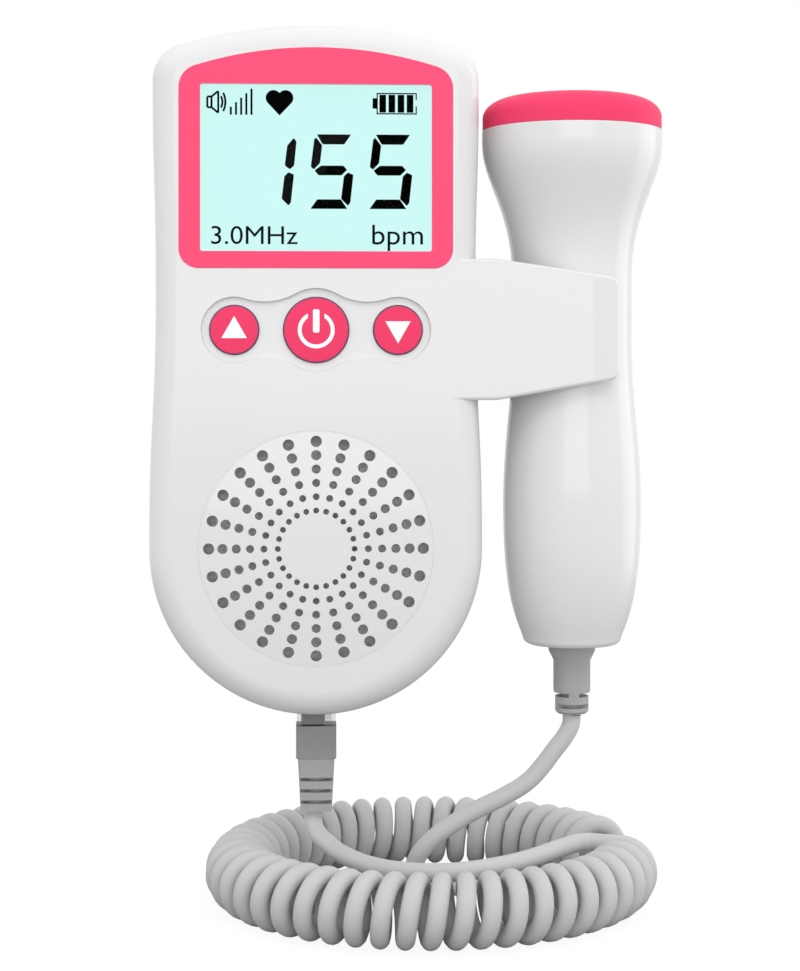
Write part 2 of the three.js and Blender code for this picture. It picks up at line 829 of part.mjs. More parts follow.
// Rolled surround, cone and dust dome in one skin
function makeSpeakerCone() {
  const y0 = frontY + speakerDepth;
  const outer = speakerRadius - speakerRimWidth - fitGap;
  const rollY = y0 + coneThickness;
  const deepY = y0 + basketDepth * coneDepthShare;
  const roll = speakerRimWidth / 2;
  const front = [
    [outer, rollY],
    [outer - roll, y0],
    [outer - 2 * roll, rollY],
    [domeRadius, deepY],
    [0, deepY - domeRadius * domeRiseShare],
  ];
  const rear = front.map(([r, y]) => [r, y + coneThickness]).reverse();
  return turnedY([...rear, ...front], 0, grilleZ, smallSides);
}

function makeSpeakerMagnet() {
  const y0 = frontY + basketEnd + seamGap;
  const pole = domeRadius * poleShare;
  return turnedY([
    [0, y0 - basketWall],
    [pole, y0 - basketWall],
    [pole, y0],
    [magnetRadius, y0],
    [magnetRadius, y0 + magnetThickness],
    [0, y0 + magnetThickness],
  ], 0, grilleZ, smallSides);
}

// Batteries, contacts and door

// The right cell stands upright on the spring, the left one on its head
function makeCell(side) {
  const high = cellLowZ + cellLength;
  const shoulderZ = high - cellNubHeight;
  const footZ = cellLowZ - cellFootHeight;
  const upright = [[0, cellLowZ], [cellRadius, cellLowZ], [cellRadius, shoulderZ],
    [cellNubRadius, shoulderZ], [cellNubRadius, high], [0, high]];
  const upended = [[0, footZ], [cellNubRadius, footZ], [cellNubRadius, cellLowZ],
    [cellRadius, cellLowZ], [cellRadius, high], [0, high]];
  const profile = side > 0 ? upright : upended;
  return turnedZ(profile, (side * cellSpacing) / 2, cellY, smallSides);
}

// A tube of many short steps along a path, its rings turned as little as they can be
function woundTube(path, radius, sides) {
  const positions = [];
  const index = [];
  const tangent = (i) => {
    const a = path[Math.max(i - 1, 0)];
    const b = path[Math.min(i + 1, path.length - 1)];
    return b.clone().sub(a).normalize();
  };
  let normal = new THREE.Vector3(0, 0, 1).cross(tangent(0));
  if (normal.length() < tinyShare) normal = new THREE.Vector3(1, 0, 0);
  path.forEach((point, i) => {
    const along = tangent(i);
    normal = normal.clone().addScaledVector(along, -normal.dot(along)).normalize();
    const across = along.clone().cross(normal);
    for (let k = 0; k < sides; k += 1) {
      const angle = (k / sides) * 2 * Math.PI;
      const spot = point.clone()
        .addScaledVector(normal, radius * Math.cos(angle))
        .addScaledVector(across, radius * Math.sin(angle));
      positions.push(spot.x, spot.y, spot.z);
    }
  });
  for (let i = 0; i + 1 < path.length; i += 1) {
    for (let k = 0; k < sides; k += 1) {
      const a = i * sides + k;
      const b = i * sides + ((k + 1) % sides);
      index.push(a, b, a + sides, b, b + sides, a + sides);
    }
  }
  const last = (path.length - 1) * sides;
  for (let k = 1; k + 1 < sides; k += 1) {
    index.push(0, k + 1, k, last, last + k, last + k + 1);
  }
  const geometry = new THREE.BufferGeometry();
  geometry.setAttribute('position', new THREE.Float32BufferAttribute(positions, 3));
  geometry.setIndex(index);
  return geometry;
}

// Least gap between stretches of a tube that are not neighbours along it
function leastSelfGap(path, diameter, apart) {
  let least = Infinity;
  for (let i = 0; i < path.length; i += 1) {
    for (let j = i + apart; j < path.length; j += 1) {
      least = Math.min(least, path[i].distanceTo(path[j]) - diameter);
    }
  }
  return least;
}

// The coil spring under the right cell
function springPath(x, z0) {
  const path = [];
  const steps = springTurns * curlSteps;
  for (let i = 0; i <= steps; i += 1) {
    const angle = (i / curlSteps) * 2 * Math.PI;
    path.push(new THREE.Vector3(
      x + springRadius * Math.cos(angle),
      cellY + springRadius * Math.sin(angle),
      z0 + springWire * springSinkShare + (i / curlSteps) * springPitch,
    ));
  }
  return path;
}

// A strip across both cells' ends, with the spring and a raised bump
function makeBridgeContact() {
  const z0 = bayLowZ + fitGap;
  const reach = cellSpacing / 2 + springRadius + springWire;
  const strip = wideBox(reach, cellY - springRadius, cellY + springRadius, z0, z0 + contactThickness);
  const coil = springPath(cellSpacing / 2, z0 + contactThickness);
  const spring = solidOf(woundTube(coil, springWire / 2, curlSides));
  const bumpX = -cellSpacing / 2;
  const bumpTop = cellLowZ - cellFootHeight - fitGap;
  const bump = turnedZ([
    [0, z0],
    [springRadius, z0],
    [springRadius * bumpTopShare, bumpTop],
    [0, bumpTop],
  ], bumpX, cellY, smallSides);
  return joined(strip, spring, bump);
}

function makeEndContact(side) {
  const x = (side * cellSpacing) / 2;
  const z1 = bayTopZ - fitGap / 2;
  const half = springRadius + springWire;
  return box(x - half, x + half, cellY - springRadius, cellY + springRadius, z1 - contactThickness, z1);
}

function makeBatteryDoor() {
  const panel = plate(rectangle(doorHalfWidth, doorLowZ, doorTopZ, doorRest), -doorThickness, 0);
  const pull = wideBox(pullWidth / 2, -pullDepth, overrun, doorTopZ - pullLowReach,
    doorTopZ - pullTopReach);
  const tongues = [];
  for (const side of [-1, 1]) {
    const x = side * tongueOffset;
    const half = tongueWidth / 2;
    const topY = -rearWall - fitGap;
    const lowY = topY - tongueThickness;
    const rootZ = doorLowZ + tongueRoot;
    tongues.push(box(x - half, x + half, lowY, topY, hingeZ - tongueReach, rootZ));
    tongues.push(box(x - half, x + half, lowY, -doorThickness / 2, bayLowZ + fitGap, rootZ));
  }
  return joined(cut(panel, pull), ...tongues);
}

// Sockets and the plug

const jackCavityHalf = plugWidth / 2 + fitGap;

function makePhoneJack() {
  const body = wideBox(jackHalfWidth, jackFrontY, jackRearY, jackLowZ, jackLowZ + jackHeight);
  const cavity = wideBox(jackCavityHalf, jackFrontY + jackWall, partingY + plugDepth / 2 + fitGap,
    jackLowZ - overrun, plugTopZ + fitGap);
  const latchRoom = wideBox(latchWidth / 2 + fitGap, partingY, jackRearY - jackWall,
    jackLowZ - overrun, plugTopZ + fitGap);
  return cut(body, cavity, latchRoom);
}

function makeHeadphoneJack() {
  const wallX = -waistHalfWidth + sideWall + fitGap;
  const half = earBodyHeight / 2;
  const body = box(wallX, wallX + earBodyLength, partingY - half, partingY + half, earZ - half, earZ + half);
  const barrel = barX(earBarrelRadius, earLeftX, wallX + overrun, partingY, earZ);
  const bore = barX(earBoreRadius, -bowHalfWidth, earLeftX + earBoreDepth, partingY, earZ);
  return cut(joined(body, barrel), bore);
}

// A four-way modular plug with its spring latch at the rear
function makePlug() {
  const lowZ = plugTopZ - plugLength;
  const body = wideBox(plugWidth / 2, partingY - plugDepth / 2, partingY + plugDepth / 2, lowZ, plugTopZ);
  const rearY = partingY + plugDepth / 2;
  const side = new THREE.Shape();
  side.moveTo(rearY - latchThickness, plugTopZ - latchThickness);
  side.lineTo(rearY, plugTopZ - latchThickness);
  side.lineTo(rearY + latchSpread, lowZ + latchThickness);
  side.lineTo(rearY + latchSpread - latchThickness, lowZ + latchThickness);
  const geometry = new THREE.ExtrudeGeometry(side, { depth: latchWidth, bevelEnabled: false });
  const toYZ = new THREE.Matrix4().makeBasis(
    new THREE.Vector3(0, 1, 0),
    new THREE.Vector3(0, 0, 1),
    new THREE.Vector3(1, 0, 0),
  );
  geometry.applyMatrix4(toYZ);
  geometry.translate(-latchWidth / 2, 0, 0);
  return joined(body, solidOf(geometry));
}

// A block and a tapering sleeve, slotted into ribs so that it bends
function makePlugBoot() {
  const blockLowZ = bootTopZ - bootBlockHeight;
  const y0 = partingY - bootDepth / 2;
  const y1 = partingY + bootDepth / 2;
  const section = rectangle(bootWidth / 2, y0, y1, bootEdgeRadius);
  const block = slab(section, blockLowZ, bootTopZ);
  const taper = new THREE.Shape();
  taper.moveTo(bootTaperLow / 2, bootLowZ);
  taper.lineTo(bootTaperTop / 2, blockLowZ);
  taper.lineTo(-bootTaperTop / 2, blockLowZ);
  taper.lineTo(-bootTaperLow / 2, bootLowZ);
  const sleeve = plate(taper, y0, y1).intersect(
    slab(section, bootLowZ - overrun, blockLowZ + overrun));
  const slots = [];
  for (let i = 0; i < bootSlots; i += 1) {
    const low = bootLowZ + bootLastRib + i * bootSlotPitch;
    const high = low + bootSlotHeight;
    const ring = wideBox(bootWidth, y0 - overrun, y1 + overrun, low, high);
    const core = turnedZ([[0, low - overrun], [bootCoreRadius, low - overrun],
      [bootCoreRadius, high + overrun], [0, high + overrun]], 0, partingY, smallSides);
    slots.push(cut(ring, core));
  }
  return cut(joined(block, sleeve), ...slots);
}

// Holder

function makeHolder() {
  const webX = bowHalfWidth + seamGap;
  const innerFront = probeY - handleRadius - clipClearance;
  const innerRear = probeY + handleRadius + clipClearance;
  const taper = armThickness - armTipThickness;
  const plan = new THREE.Shape();
  plan.moveTo(holderRootX, frontY);
  plan.lineTo(probeX, frontY);
  plan.quadraticCurveTo((probeX + holderTipX) / 2, frontY, holderTipX, frontY + taper);
  plan.lineTo(holderTipX, innerFront);
  plan.lineTo(webX + webThickness, innerFront);
  plan.lineTo(webX + webThickness, innerRear);
  plan.lineTo(holderTipX, innerRear);
  plan.lineTo(holderTipX, -taper);
  plan.quadraticCurveTo((probeX + holderTipX) / 2, 0, probeX, 0);
  plan.lineTo(holderRootX, 0);
  plan.lineTo(holderRootX, -hookThickness);
  plan.lineTo(webX, -hookThickness);
  plan.lineTo(webX, frontY + hookThickness);
  plan.lineTo(holderRootX, frontY + hookThickness);
  const bar = slab(plan, holderRootLowZ - overrun, holderRootTopZ + overrun);
  const face = new THREE.Shape();
  const r = holderCornerRadius;
  face.absarc(holderTipX - r, holderTipLowZ + r, r, -Math.PI / 2, 0);
  face.absarc(holderTipX - r, holderTipTopZ - r, r, 0, Math.PI / 2);
  face.lineTo(webX + webThickness, holderRootTopZ);
  face.absarc(holderRootX + r, holderRootTopZ - r, r, Math.PI / 2, Math.PI);
  face.absarc(holderRootX + r, holderRootLowZ + r, r, Math.PI, Math.PI * 1.5);
  face.lineTo(webX + webThickness, holderRootLowZ);
  return bar.intersect(plate(face, frontY - overrun, overrun));
}

// Probe

function curveProfile(steps, p0, p1, p2, p3) {
  const curve = new THREE.CubicBezierCurve(
    new THREE.Vector2(...p0),
    new THREE.Vector2(...p1),
    new THREE.Vector2(...p2),
    new THREE.Vector2(...p3),
  );
  return curve.getPoints(steps).map((p) => [p.x, p.y]);
}

// Right half of the probe's outline from its tail up to the cap's seam, drawn in by a wall
function probeProfile(inset) {
  const tail = tailRadius - inset;
  const belly = bellyRadius - inset;
  const handle = handleRadius - inset;
  const head = headRadius - inset;
  const low = tailZ + inset;
  const edge = tailEdgeRadius;
  const steps = inset ? innerCurvePoints : curvePoints;
  const tailCurve = curveProfile(
    steps,
    [tail, low + edge],
    [tail + tailReach * tailSlopeShare, low + tailReach],
    [belly, bellyZ - bellyReach],
    [belly, bellyZ],
  );
  const bellyCurve = curveProfile(
    steps,
    [belly, bellyZ],
    [belly, bellyZ + bellyReach],
    [handle, handleLowZ - bellyReach],
    [handle, handleLowZ],
  );
  const headCurve = curveProfile(
    steps,
    [handle, handleTopZ],
    [handle, handleTopZ + headNeckReach],
    [head, headLowZ - headShoulderReach],
    [head, headLowZ],
  );
  return [[0, low], [tail - edge, low], ...tailCurve, ...bellyCurve.slice(1), ...headCurve];
}

const bootHoleRadius = probeBootNeck + fitGap;

// Both halves in one, open at the head, with a hole for the strain relief in the tail
function probeShell() {
  const top = (inset) => (inset ? capSeamZ + overrun : capSeamZ);
  const solid = (inset) => turnedZ([
    ...probeProfile(inset),
    [headRadius - inset, top(inset)],
    [0, top(inset)],
  ], probeX, probeY);
  const hole = turnedZ([
    [0, tailZ - overrun],
    [bootHoleRadius, tailZ - overrun],
    [bootHoleRadius, tailZ + probeWall + overrun],
    [0, tailZ + probeWall + overrun],
  ], probeX, probeY, smallSides);
  return cut(solid(0), solid(probeWall), hole);
}

function makeProbeHalf(side) {
  const reach = headRadius + overrun;
  const y0 = side < 0 ? probeY - reach : probeY + seamGap / 2;
  const y1 = side < 0 ? probeY - seamGap / 2 : probeY + reach;
  return probeShell().intersect(box(probeX - reach, probeX + reach, y0, y1, tailZ - overrun, capTopZ));
}

// The soft-edged face that is laid on the skin, with a skirt inside the shells
function makeProbeCap() {
  const seam = capSeamZ + seamGap;
  const edge = [];
  for (let i = 0; i <= edgeSteps + 1; i += 1) {
    const angle = (i / (edgeSteps + 1)) * (Math.PI / 2);
    edge.push([
      headRadius - capEdgeRadius * (1 - Math.cos(angle)),
      capTopZ - capEdgeRadius * (1 - Math.sin(angle)),
    ]);
  }
  const skirt = headRadius - probeWall - fitGap;
  const skirtLow = capSeamZ - probeWall;
  return turnedZ([
    [skirt - capWall / 2, skirtLow],
    [skirt, skirtLow],
    [skirt, seam],
    [headRadius, seam],
    ...edge,
    [0, capTopZ],
    [0, capTopZ - capWall],
    [skirt - capWall / 2, capTopZ - capWall],
    [skirt - capWall / 2, skirtLow],
  ], probeX, probeY);
}

const piezoTopZ = capTopZ - capWall - fitGap;
const backingTopZ = piezoTopZ - piezoThickness - fitGap;
const carrierTopZ = capSeamZ - probeWall - fitGap;

// Two half discs, one sends and one receives
function makePiezo(side) {
  const disc = turnedZ([
    [0, piezoTopZ - piezoThickness],
    [piezoRadius, piezoTopZ - piezoThickness],
    [piezoRadius, piezoTopZ],
    [0, piezoTopZ],
  ], probeX, probeY);
  const x0 = side < 0 ? probeX - piezoRadius - overrun : probeX + piezoSlit / 2;
  const x1 = side < 0 ? probeX - piezoSlit / 2 : probeX + piezoRadius + overrun;
  const half = box(x0, x1, probeY - headRadius, probeY + headRadius, carrierTopZ, capTopZ);
  return disc.intersect(half);
}

function makeBacking() {
  return turnedZ([
    [0, carrierTopZ + fitGap],
    [backingRadius, carrierTopZ + fitGap],
    [backingRadius, backingTopZ],
    [0, backingTopZ],
  ], probeX, probeY);
}

function makeCarrier() {
  const outer = headRadius - probeWall - carrierGap;
  const low = carrierTopZ - carrierThickness;
  return turnedZ([[0, low], [outer, low], [outer, carrierTopZ], [0, carrierTopZ]], probeX, probeY);
}

function makeProbeBoard() {
  const half = handleRadius - probeWall - 2 * fitGap;
  const z1 = handleTopZ;
  const thick = probeBoardThickness / 2;
  return box(probeX - half, probeX + half, probeY - thick, probeY + thick, z1 - probeBoardLength, z1);
}

// A flange trapped inside the tail, a neck, a flared sleeve and two rings that let it bend
function makeProbeBoot() {
  const flangeLow = tailZ + probeWall + fitGap;
  const flangeTop = flangeLow + probeBootFlangeHeight;
  return turnedZ([
    [0, probeBootLowZ],
    [probeBootLastRadius - fitGap, probeBootLowZ],
    [probeBootLastRadius, (probeBootLowZ + probeBootLastZ) / 2],
    [probeBootLastRadius, probeBootLastZ],
    [probeBootCore, probeBootLastZ],
    [probeBootCore, probeBootRingLowZ],
    [probeBootLastRadius, probeBootRingLowZ],
    [probeBootLastRadius, probeBootRingZ],
    [probeBootCore, probeBootRingZ],
    [probeBootCore, probeBootBodyLowZ],
    [probeBootRadius - fitGap, probeBootBodyLowZ],
    [probeBootRadius, probeBootBodyLowZ + probeBootChamfer],
    [probeBootRadius, probeBootBodyZ],
    [probeBootFlare, probeBootFlareZ],
    [probeBootFlare, tailZ - fitGap],
    [probeBootNeck, tailZ - fitGap],
    [probeBootNeck, flangeLow],
    [probeBootFlange, flangeLow],
    [probeBootFlange, flangeTop],
    [0, flangeTop],
  ], probeX, probeY, smallSides);
}

// Cord: a curly ring and the two straight leads that join it

const curlRadius = curlOuterRadius - cordDiameter / 2;
const curlAxisZ = floorZ + curlOuterRadius;

function ringPoint(angle) {
  return new THREE.Vector3(
    ringX + ringHalfX * Math.cos(angle),
    probeY + ringHalfY * Math.sin(angle),
    curlAxisZ,
  );
}

function ringNormal(angle) {
  return new THREE.Vector3(Math.cos(angle) / ringHalfX, Math.sin(angle) / ringHalfY, 0).normalize();
}

const ringSpeed = (angle) => Math.hypot(ringHalfX * Math.sin(angle), ringHalfY * Math.cos(angle));

// Curls stand wider where the ring bends tighter, so that their inner sides keep one gap
function curlDensity(angle) {
  const bend = ringSpeed(angle) ** 3 / (ringHalfX * ringHalfY);
  return (bend - curlRadius) / bend;
}

// The angle round the ring that each small step of the winding has reached
function ringAngles() {
  const start = THREE.MathUtils.degToRad(curlStartAngle);
  const end = THREE.MathUtils.degToRad(curlEndAngle);
  const sums = [0];
  for (let i = 0; i < ringSamples; i += 1) {
    const angle = start + ((i + 1 / 2) / ringSamples) * (end - start);
    sums.push(sums[i] + ringSpeed(angle) * curlDensity(angle));
  }
  const total = sums[ringSamples];
  const steps = Math.round(curlCount * curlSteps);
  const angles = [];
  let at = 0;
  for (let i = 0; i <= steps; i += 1) {
    const wanted = (i / steps) * total;
    while (at < ringSamples - 1 && sums[at + 1] < wanted) at += 1;
    const share = (wanted - sums[at]) / (sums[at + 1] - sums[at]);
    angles.push(start + ((at + share) / ringSamples) * (end - start));
  }
  return angles;
}

// From the top of the first curl to the bottom of the last, with a straight end at each
function curlPath() {
  const angles = ringAngles();
  const path = angles.map((angle, i) => {
    const turn = Math.PI / 2 - (i / curlSteps) * 2 * Math.PI;
    return ringPoint(angle)
      .addScaledVector(ringNormal(angle), curlRadius * Math.cos(turn))
      .add(new THREE.Vector3(0, 0, curlRadius * Math.sin(turn)));
  });
  const first = path[1].clone().sub(path[0]).setZ(0).normalize();
  const last = path[path.length - 1].clone().sub(path[path.length - 2]).setZ(0).normalize();
  path.unshift(path[0].clone().addScaledVector(first, -cordDiameter));
  path.push(path[path.length - 1].clone().addScaledVector(last, cordDiameter));
  return path;
}

const curls = curlPath();
const wholeCurl = curlSteps - 2;
const curlGap = leastSelfGap(curls, cordDiameter, wholeCurl);
console.log(`least gap of the curly cord to itself: ${curlGap.toFixed(3)} mm`);

// Routes of the two leads, chosen by hand, from the object to the ring. The third number is
// the share of the height between the strain relief and the cord's rest that lies above.
const unitLeadTopZ = bootLowZ - fitGap;
const unitLeadRestZ = curlAxisZ + curlRadius;
const unitLeadRoute = [
  [-0.4, -15.5, 0], [-0.6, -15.6, 0.253], [-0.2, -16.6, 0.538], [2.4, -20.2, 0.901],
  [6.6, -26.4, 1.107], [11.6, -32.0, 1.17], [16.8, -35.8, 1.154], [22.2, -38.2, 1.107],
  [28.2, -38.6, 1.043], [34.0, -36.6, 0.996], [39.4, -32.6, 0.98], [43.8, -27.6, 0.98],
  [47.6, -22.6, 0.996],
];
const probeLeadTopZ = probeBootLowZ - fitGap;
const probeLeadRestZ = curlAxisZ - curlRadius;
const probeLeadRoute = [
  [50.6, -15.5, 0], [50.35, -15.5, 0.063], [49.1, -15.5, 0.128], [47.1, -15.5, 0.202],
  [44.75, -15.5, 0.29], [41.9, -15.5, 0.375], [37.6, -15.5, 0.452], [32.2, -15.6, 0.526],
  [26.9, -15.8, 0.611], [22.3, -16.0, 0.711], [19.6, -15.8, 0.816], [19.4, -14.8, 0.907],
  [21.6, -13.0, 0.978], [26.2, -11.0, 0.999], [32.6, -9.4, 1], [39.6, -8.4, 1],
];

// A lead's last points run straight into the end of the curls that it meets
function leadPath(route, topZ, restZ, end, beyond) {
  const away = beyond.clone().sub(end).normalize();
  const meet = end.clone().addScaledVector(away, -fitGap);
  const points = route.map(([x, y, share]) => new THREE.Vector3(x, y, topZ + share * (restZ - topZ)));
  points.push(meet.clone().addScaledVector(away, -cordDiameter), meet);
  return points;
}

function makeLead(points) {
  const section = new THREE.Shape();
  for (let k = 0; k < leadSides; k += 1) {
    const angle = ((k + 1 / 2) / leadSides) * 2 * Math.PI;
    const x = (cordDiameter / 2) * Math.cos(angle);
    const y = (cordDiameter / 2) * Math.sin(angle);
    if (k) section.lineTo(x, y);
    else section.moveTo(x, y);
  }
  const curve = new THREE.CatmullRomCurve3(points, false, 'centripetal');
  const steps = Math.round(curve.getLength() / (cordDiameter * leadStepShare));
  return solidOf(new THREE.ExtrudeGeometry(section, { steps, bevelEnabled: false, extrudePath: curve }));
}

const [lastCurl, beforeLast] = [curls[curls.length - 1], curls[curls.length - 2]];
const unitLead = leadPath(unitLeadRoute, unitLeadTopZ, unitLeadRestZ, curls[0], curls[1]);
const probeLead = leadPath(probeLeadRoute, probeLeadTopZ, probeLeadRestZ, lastCurl, beforeLast);

// Materials, named for their finishes

const finish = (color, roughness, metalness = 0) => ({ color, roughness, metalness });
const finishes = {
  whiteGloss: finish(0xeaeaea, 0.25),
  whiteMatt: finish(0xdededc, 0.5),
  pinkGloss: finish(0xff577f, 0.2),
  pinkKey: finish(0xf3486f, 0.35),
  liquidCrystal: finish(0xcffdf9, 0.2),
  lightGuide: finish(0xf4f6f6, 0.4),
  greenBoard: finish(0x2f6b45, 0.5),
  blackPlastic: finish(0x232323, 0.5),
  greyCloth: finish(0x5a5a5a, 0.9),
  steel: finish(0xb8b8bc, 0.3, 1),
  paper: finish(0x8c857a, 0.9),
  ferrite: finish(0x3b3b3e, 0.6),
  cellSleeve: finish(0x9aa0a8, 0.35, 0.6),
  clear: finish(0xe4e6e6, 0.15),
  greyRubber: finish(0x9a9a9a, 0.6),
  greyCord: finish(0xc0c0c0, 0.55),
  ceramic: finish(0xcfc6b0, 0.5),
  blackFoam: finish(0x2c2c2e, 0.9),
};

const group = new THREE.Group();

function add(name, geometry, look) {
  const mesh = new THREE.Mesh(geometry, new THREE.MeshStandardMaterial(finishes[look]));
  mesh.name = name;
  group.add(mesh);
}

const addSolid = (name, solid, look) => add(name, geometryOf(solid), look);

addSolid('front_cover', makeFrontCover(), 'whiteGloss');
addSolid('rear_cover', makeRearCover(), 'whiteGloss');
addSolid('probe_holder', makeHolder(), 'whiteGloss');
addSolid('speaker_grille', makeGrille(), 'whiteGloss');
addSolid('display_bezel', makeBezel(), 'pinkGloss');
addSolid('display_window', makePane(), 'clear');
addSolid('lcd_panel', makeLcdPanel(), 'liquidCrystal');
addSolid('lcd_backlight', makeBacklight(), 'lightGuide');
addSolid('main_board', makeMainBoard(), 'greenBoard');
const buttons = [
  ['up', -buttonSpacing, sideButtonRadius],
  ['power', 0, powerButtonRadius],
  ['down', buttonSpacing, sideButtonRadius],
];
for (const [name, x, radius] of buttons) {
  addSolid(`button_${name}`, makeButton(x, radius), 'pinkKey');
  addSolid(`switch_${name}`, makeSwitch(x), 'blackPlastic');
  addSolid(`switch_stem_${name}`, makeStem(x), 'blackPlastic');
}
addSolid('dust_cloth', makeCloth(), 'greyCloth');
addSolid('speaker_frame', makeSpeakerFrame(), 'steel');
addSolid('speaker_cone', makeSpeakerCone(), 'paper');
addSolid('speaker_magnet', makeSpeakerMagnet(), 'ferrite');
addSolid('battery_left', makeCell(-1), 'cellSleeve');
addSolid('battery_right', makeCell(1), 'cellSleeve');
addSolid('battery_bridge_contact', makeBridgeContact(), 'steel');
addSolid('battery_contact_left', makeEndContact(-1), 'steel');
addSolid('battery_contact_right', makeEndContact(1), 'steel');
addSolid('battery_door', makeBatteryDoor(), 'whiteGloss');
screwPlaces.forEach((place, i) => addSolid(`case_screw_${i + 1}`, makeCaseScrew(place), 'steel'));
addSolid('phone_jack', makePhoneJack(), 'whiteMatt');
addSolid('headphone_jack', makeHeadphoneJack(), 'blackPlastic');
addSolid('cord_plug', makePlug(), 'clear');
addSolid('plug_boot', makePlugBoot(), 'greyRubber');
addSolid('probe_front_shell', makeProbeHalf(-1), 'whiteGloss');
addSolid('probe_rear_shell', makeProbeHalf(1), 'whiteGloss');
addSolid('probe_cap', makeProbeCap(), 'pinkKey');
addSolid('piezo_transmit', makePiezo(-1), 'ceramic');
addSolid('piezo_receive', makePiezo(1), 'ceramic');
addSolid('piezo_backing', makeBacking(), 'blackFoam');
addSolid('transducer_carrier', makeCarrier(), 'whiteMatt');
addSolid('probe_board', makeProbeBoard(), 'greenBoard');
addSolid('probe_boot', makeProbeBoot(), 'greyRubber');
addSolid('cord_lead_unit', makeLead(unitLead), 'greyCord');
add('cord_curls', woundTube(curls, cordDiameter / 2, curlSides), 'greyCord');
addSolid('cord_lead_probe', makeLead(probeLead), 'greyCord');

export default group;
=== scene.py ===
# %% [markdown]
# # A pocket fetal doppler
# A hand unit with a lit display, three keys and a loudspeaker, and a flared probe that is
# parked in the holder at its side on a curly cord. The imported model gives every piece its
# place and size. This lesson puts the fine surfaces, the finishes and the light on it.

# %% The frame
from math import acos, atan2, cos, hypot, pi, radians, sin, sqrt
import bmesh
import bpy
from mathutils import Matrix, Vector


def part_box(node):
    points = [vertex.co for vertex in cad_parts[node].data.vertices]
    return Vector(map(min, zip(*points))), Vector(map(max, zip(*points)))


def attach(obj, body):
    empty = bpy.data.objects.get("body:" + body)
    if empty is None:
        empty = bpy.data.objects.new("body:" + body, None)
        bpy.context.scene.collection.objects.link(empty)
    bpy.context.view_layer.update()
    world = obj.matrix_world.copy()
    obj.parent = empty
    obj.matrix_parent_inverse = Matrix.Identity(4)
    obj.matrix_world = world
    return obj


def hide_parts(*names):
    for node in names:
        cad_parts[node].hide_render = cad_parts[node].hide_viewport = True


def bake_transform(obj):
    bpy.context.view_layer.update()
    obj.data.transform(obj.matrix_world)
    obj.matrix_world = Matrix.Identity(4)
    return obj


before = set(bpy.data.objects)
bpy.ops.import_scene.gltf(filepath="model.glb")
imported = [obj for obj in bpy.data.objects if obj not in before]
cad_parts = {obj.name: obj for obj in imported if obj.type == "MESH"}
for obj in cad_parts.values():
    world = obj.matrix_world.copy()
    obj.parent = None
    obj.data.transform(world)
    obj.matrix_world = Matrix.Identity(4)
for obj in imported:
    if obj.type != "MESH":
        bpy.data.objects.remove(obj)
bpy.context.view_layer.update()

# %% [markdown]
# ## Working in millimetres
# The frame is in metres, but a product like this is drawn in millimetres. So every bmesh is
# built in millimetres and made smaller once, when it becomes an object. A box of a CAD node
# gives the sizes that the new pieces share with the frame.

# %% Units and places
MM = 0.001
TINY = 0.001
FULL_TURN = 2 * pi
HALF_TURN = pi
QUARTER_TURN = pi / 2


def box_mm(node):
    """Lowest and highest corner of a CAD node, in millimetres."""
    low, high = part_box(node)
    return low / MM, high / MM


cover_low, cover_high = box_mm("front_cover")
FRONT_Y = cover_low.y
REAR_Y = box_mm("rear_cover")[1].y
PARTING_Y = (FRONT_Y + REAR_Y) / 2
CASE_TOP = cover_high.z
SEAM = 0.1
FIT = 0.3
OVERRUN = 2
print("case depth", round(REAR_Y - FRONT_Y, 2), "mm")

# %% [markdown]
# ## From a bmesh to a piece
# One function turns a finished bmesh into an object. It scales the mesh to metres, lets the
# rounded parts shade smoothly while real edges stay crisp, hangs the piece on its body and
# hides the CAD node that it stands for. Weighted normals keep the large flat faces flat. It
# prints how many faces each piece has.

# %% Pieces
scene = bpy.context.scene
SMOOTH_ANGLE = radians(32)


def new_object(name, data):
    made = bpy.data.objects.new(name, data)
    scene.collection.objects.link(made)
    return made


def to_mesh(bm, name):
    """A bmesh in millimetres becomes a mesh in metres."""
    bmesh.ops.scale(bm, vec=(MM, MM, MM), verts=bm.verts)
    mesh = bpy.data.meshes.new(name)
    bm.to_mesh(mesh)
    bm.free()
    mesh.shade_smooth()
    mesh.set_sharp_from_angle(angle=SMOOTH_ANGLE)
    return mesh


def piece(bm, name, looks, node=None, body="root", flat=True):
    """The finished piece, in its finishes, for the CAD node that it replaces, on its body."""
    made = new_object(name, to_mesh(bm, name))
    for look in looks:
        made.data.materials.append(look)
    if flat:
        made.modifiers.new("flat faces", "WEIGHTED_NORMAL").keep_sharp = True
    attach(made, body)
    if node:
        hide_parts(node)
    print(name, "has", len(made.data.polygons), "faces")
    return made


# %% [markdown]
# ## Shaping tools
# Most of this product is one of two shapes: an outline pushed straight back, as a moulded
# cover is, or a profile turned about an axis, as the probe is. Holes and recesses are cut
# with the exact boolean, as a mould's core would leave them.

# %% Outlines
def arc(x, z, radius_x, radius_z, start, end, steps):
    """Points along part of an ellipse, angles in radians from +X."""
    return [
        (x + radius_x * cos(start + (end - start) * i / steps),
         z + radius_z * sin(start + (end - start) * i / steps))
        for i in range(steps + 1)
    ]


def bezier(p0, p1, p2, p3, steps):
    """Points along a cubic curve, both ends included."""
    points = []
    for i in range(steps + 1):
        t = i / steps
        u = 1 - t
        weights = (u ** 3, 3 * u * u * t, 3 * u * t * t, t ** 3)
        points.append(tuple(sum(w * p[k] for w, p in zip(weights, (p0, p1, p2, p3)))
                            for k in range(2)))
    return points


def mirrored(points):
    """The same points on the other side of the middle, in reverse order."""
    return [(-x, z) for x, z in reversed(points)]


def circle(x, z, radius, steps):
    return arc(x, z, radius, radius, 0, FULL_TURN, steps)[:-1]


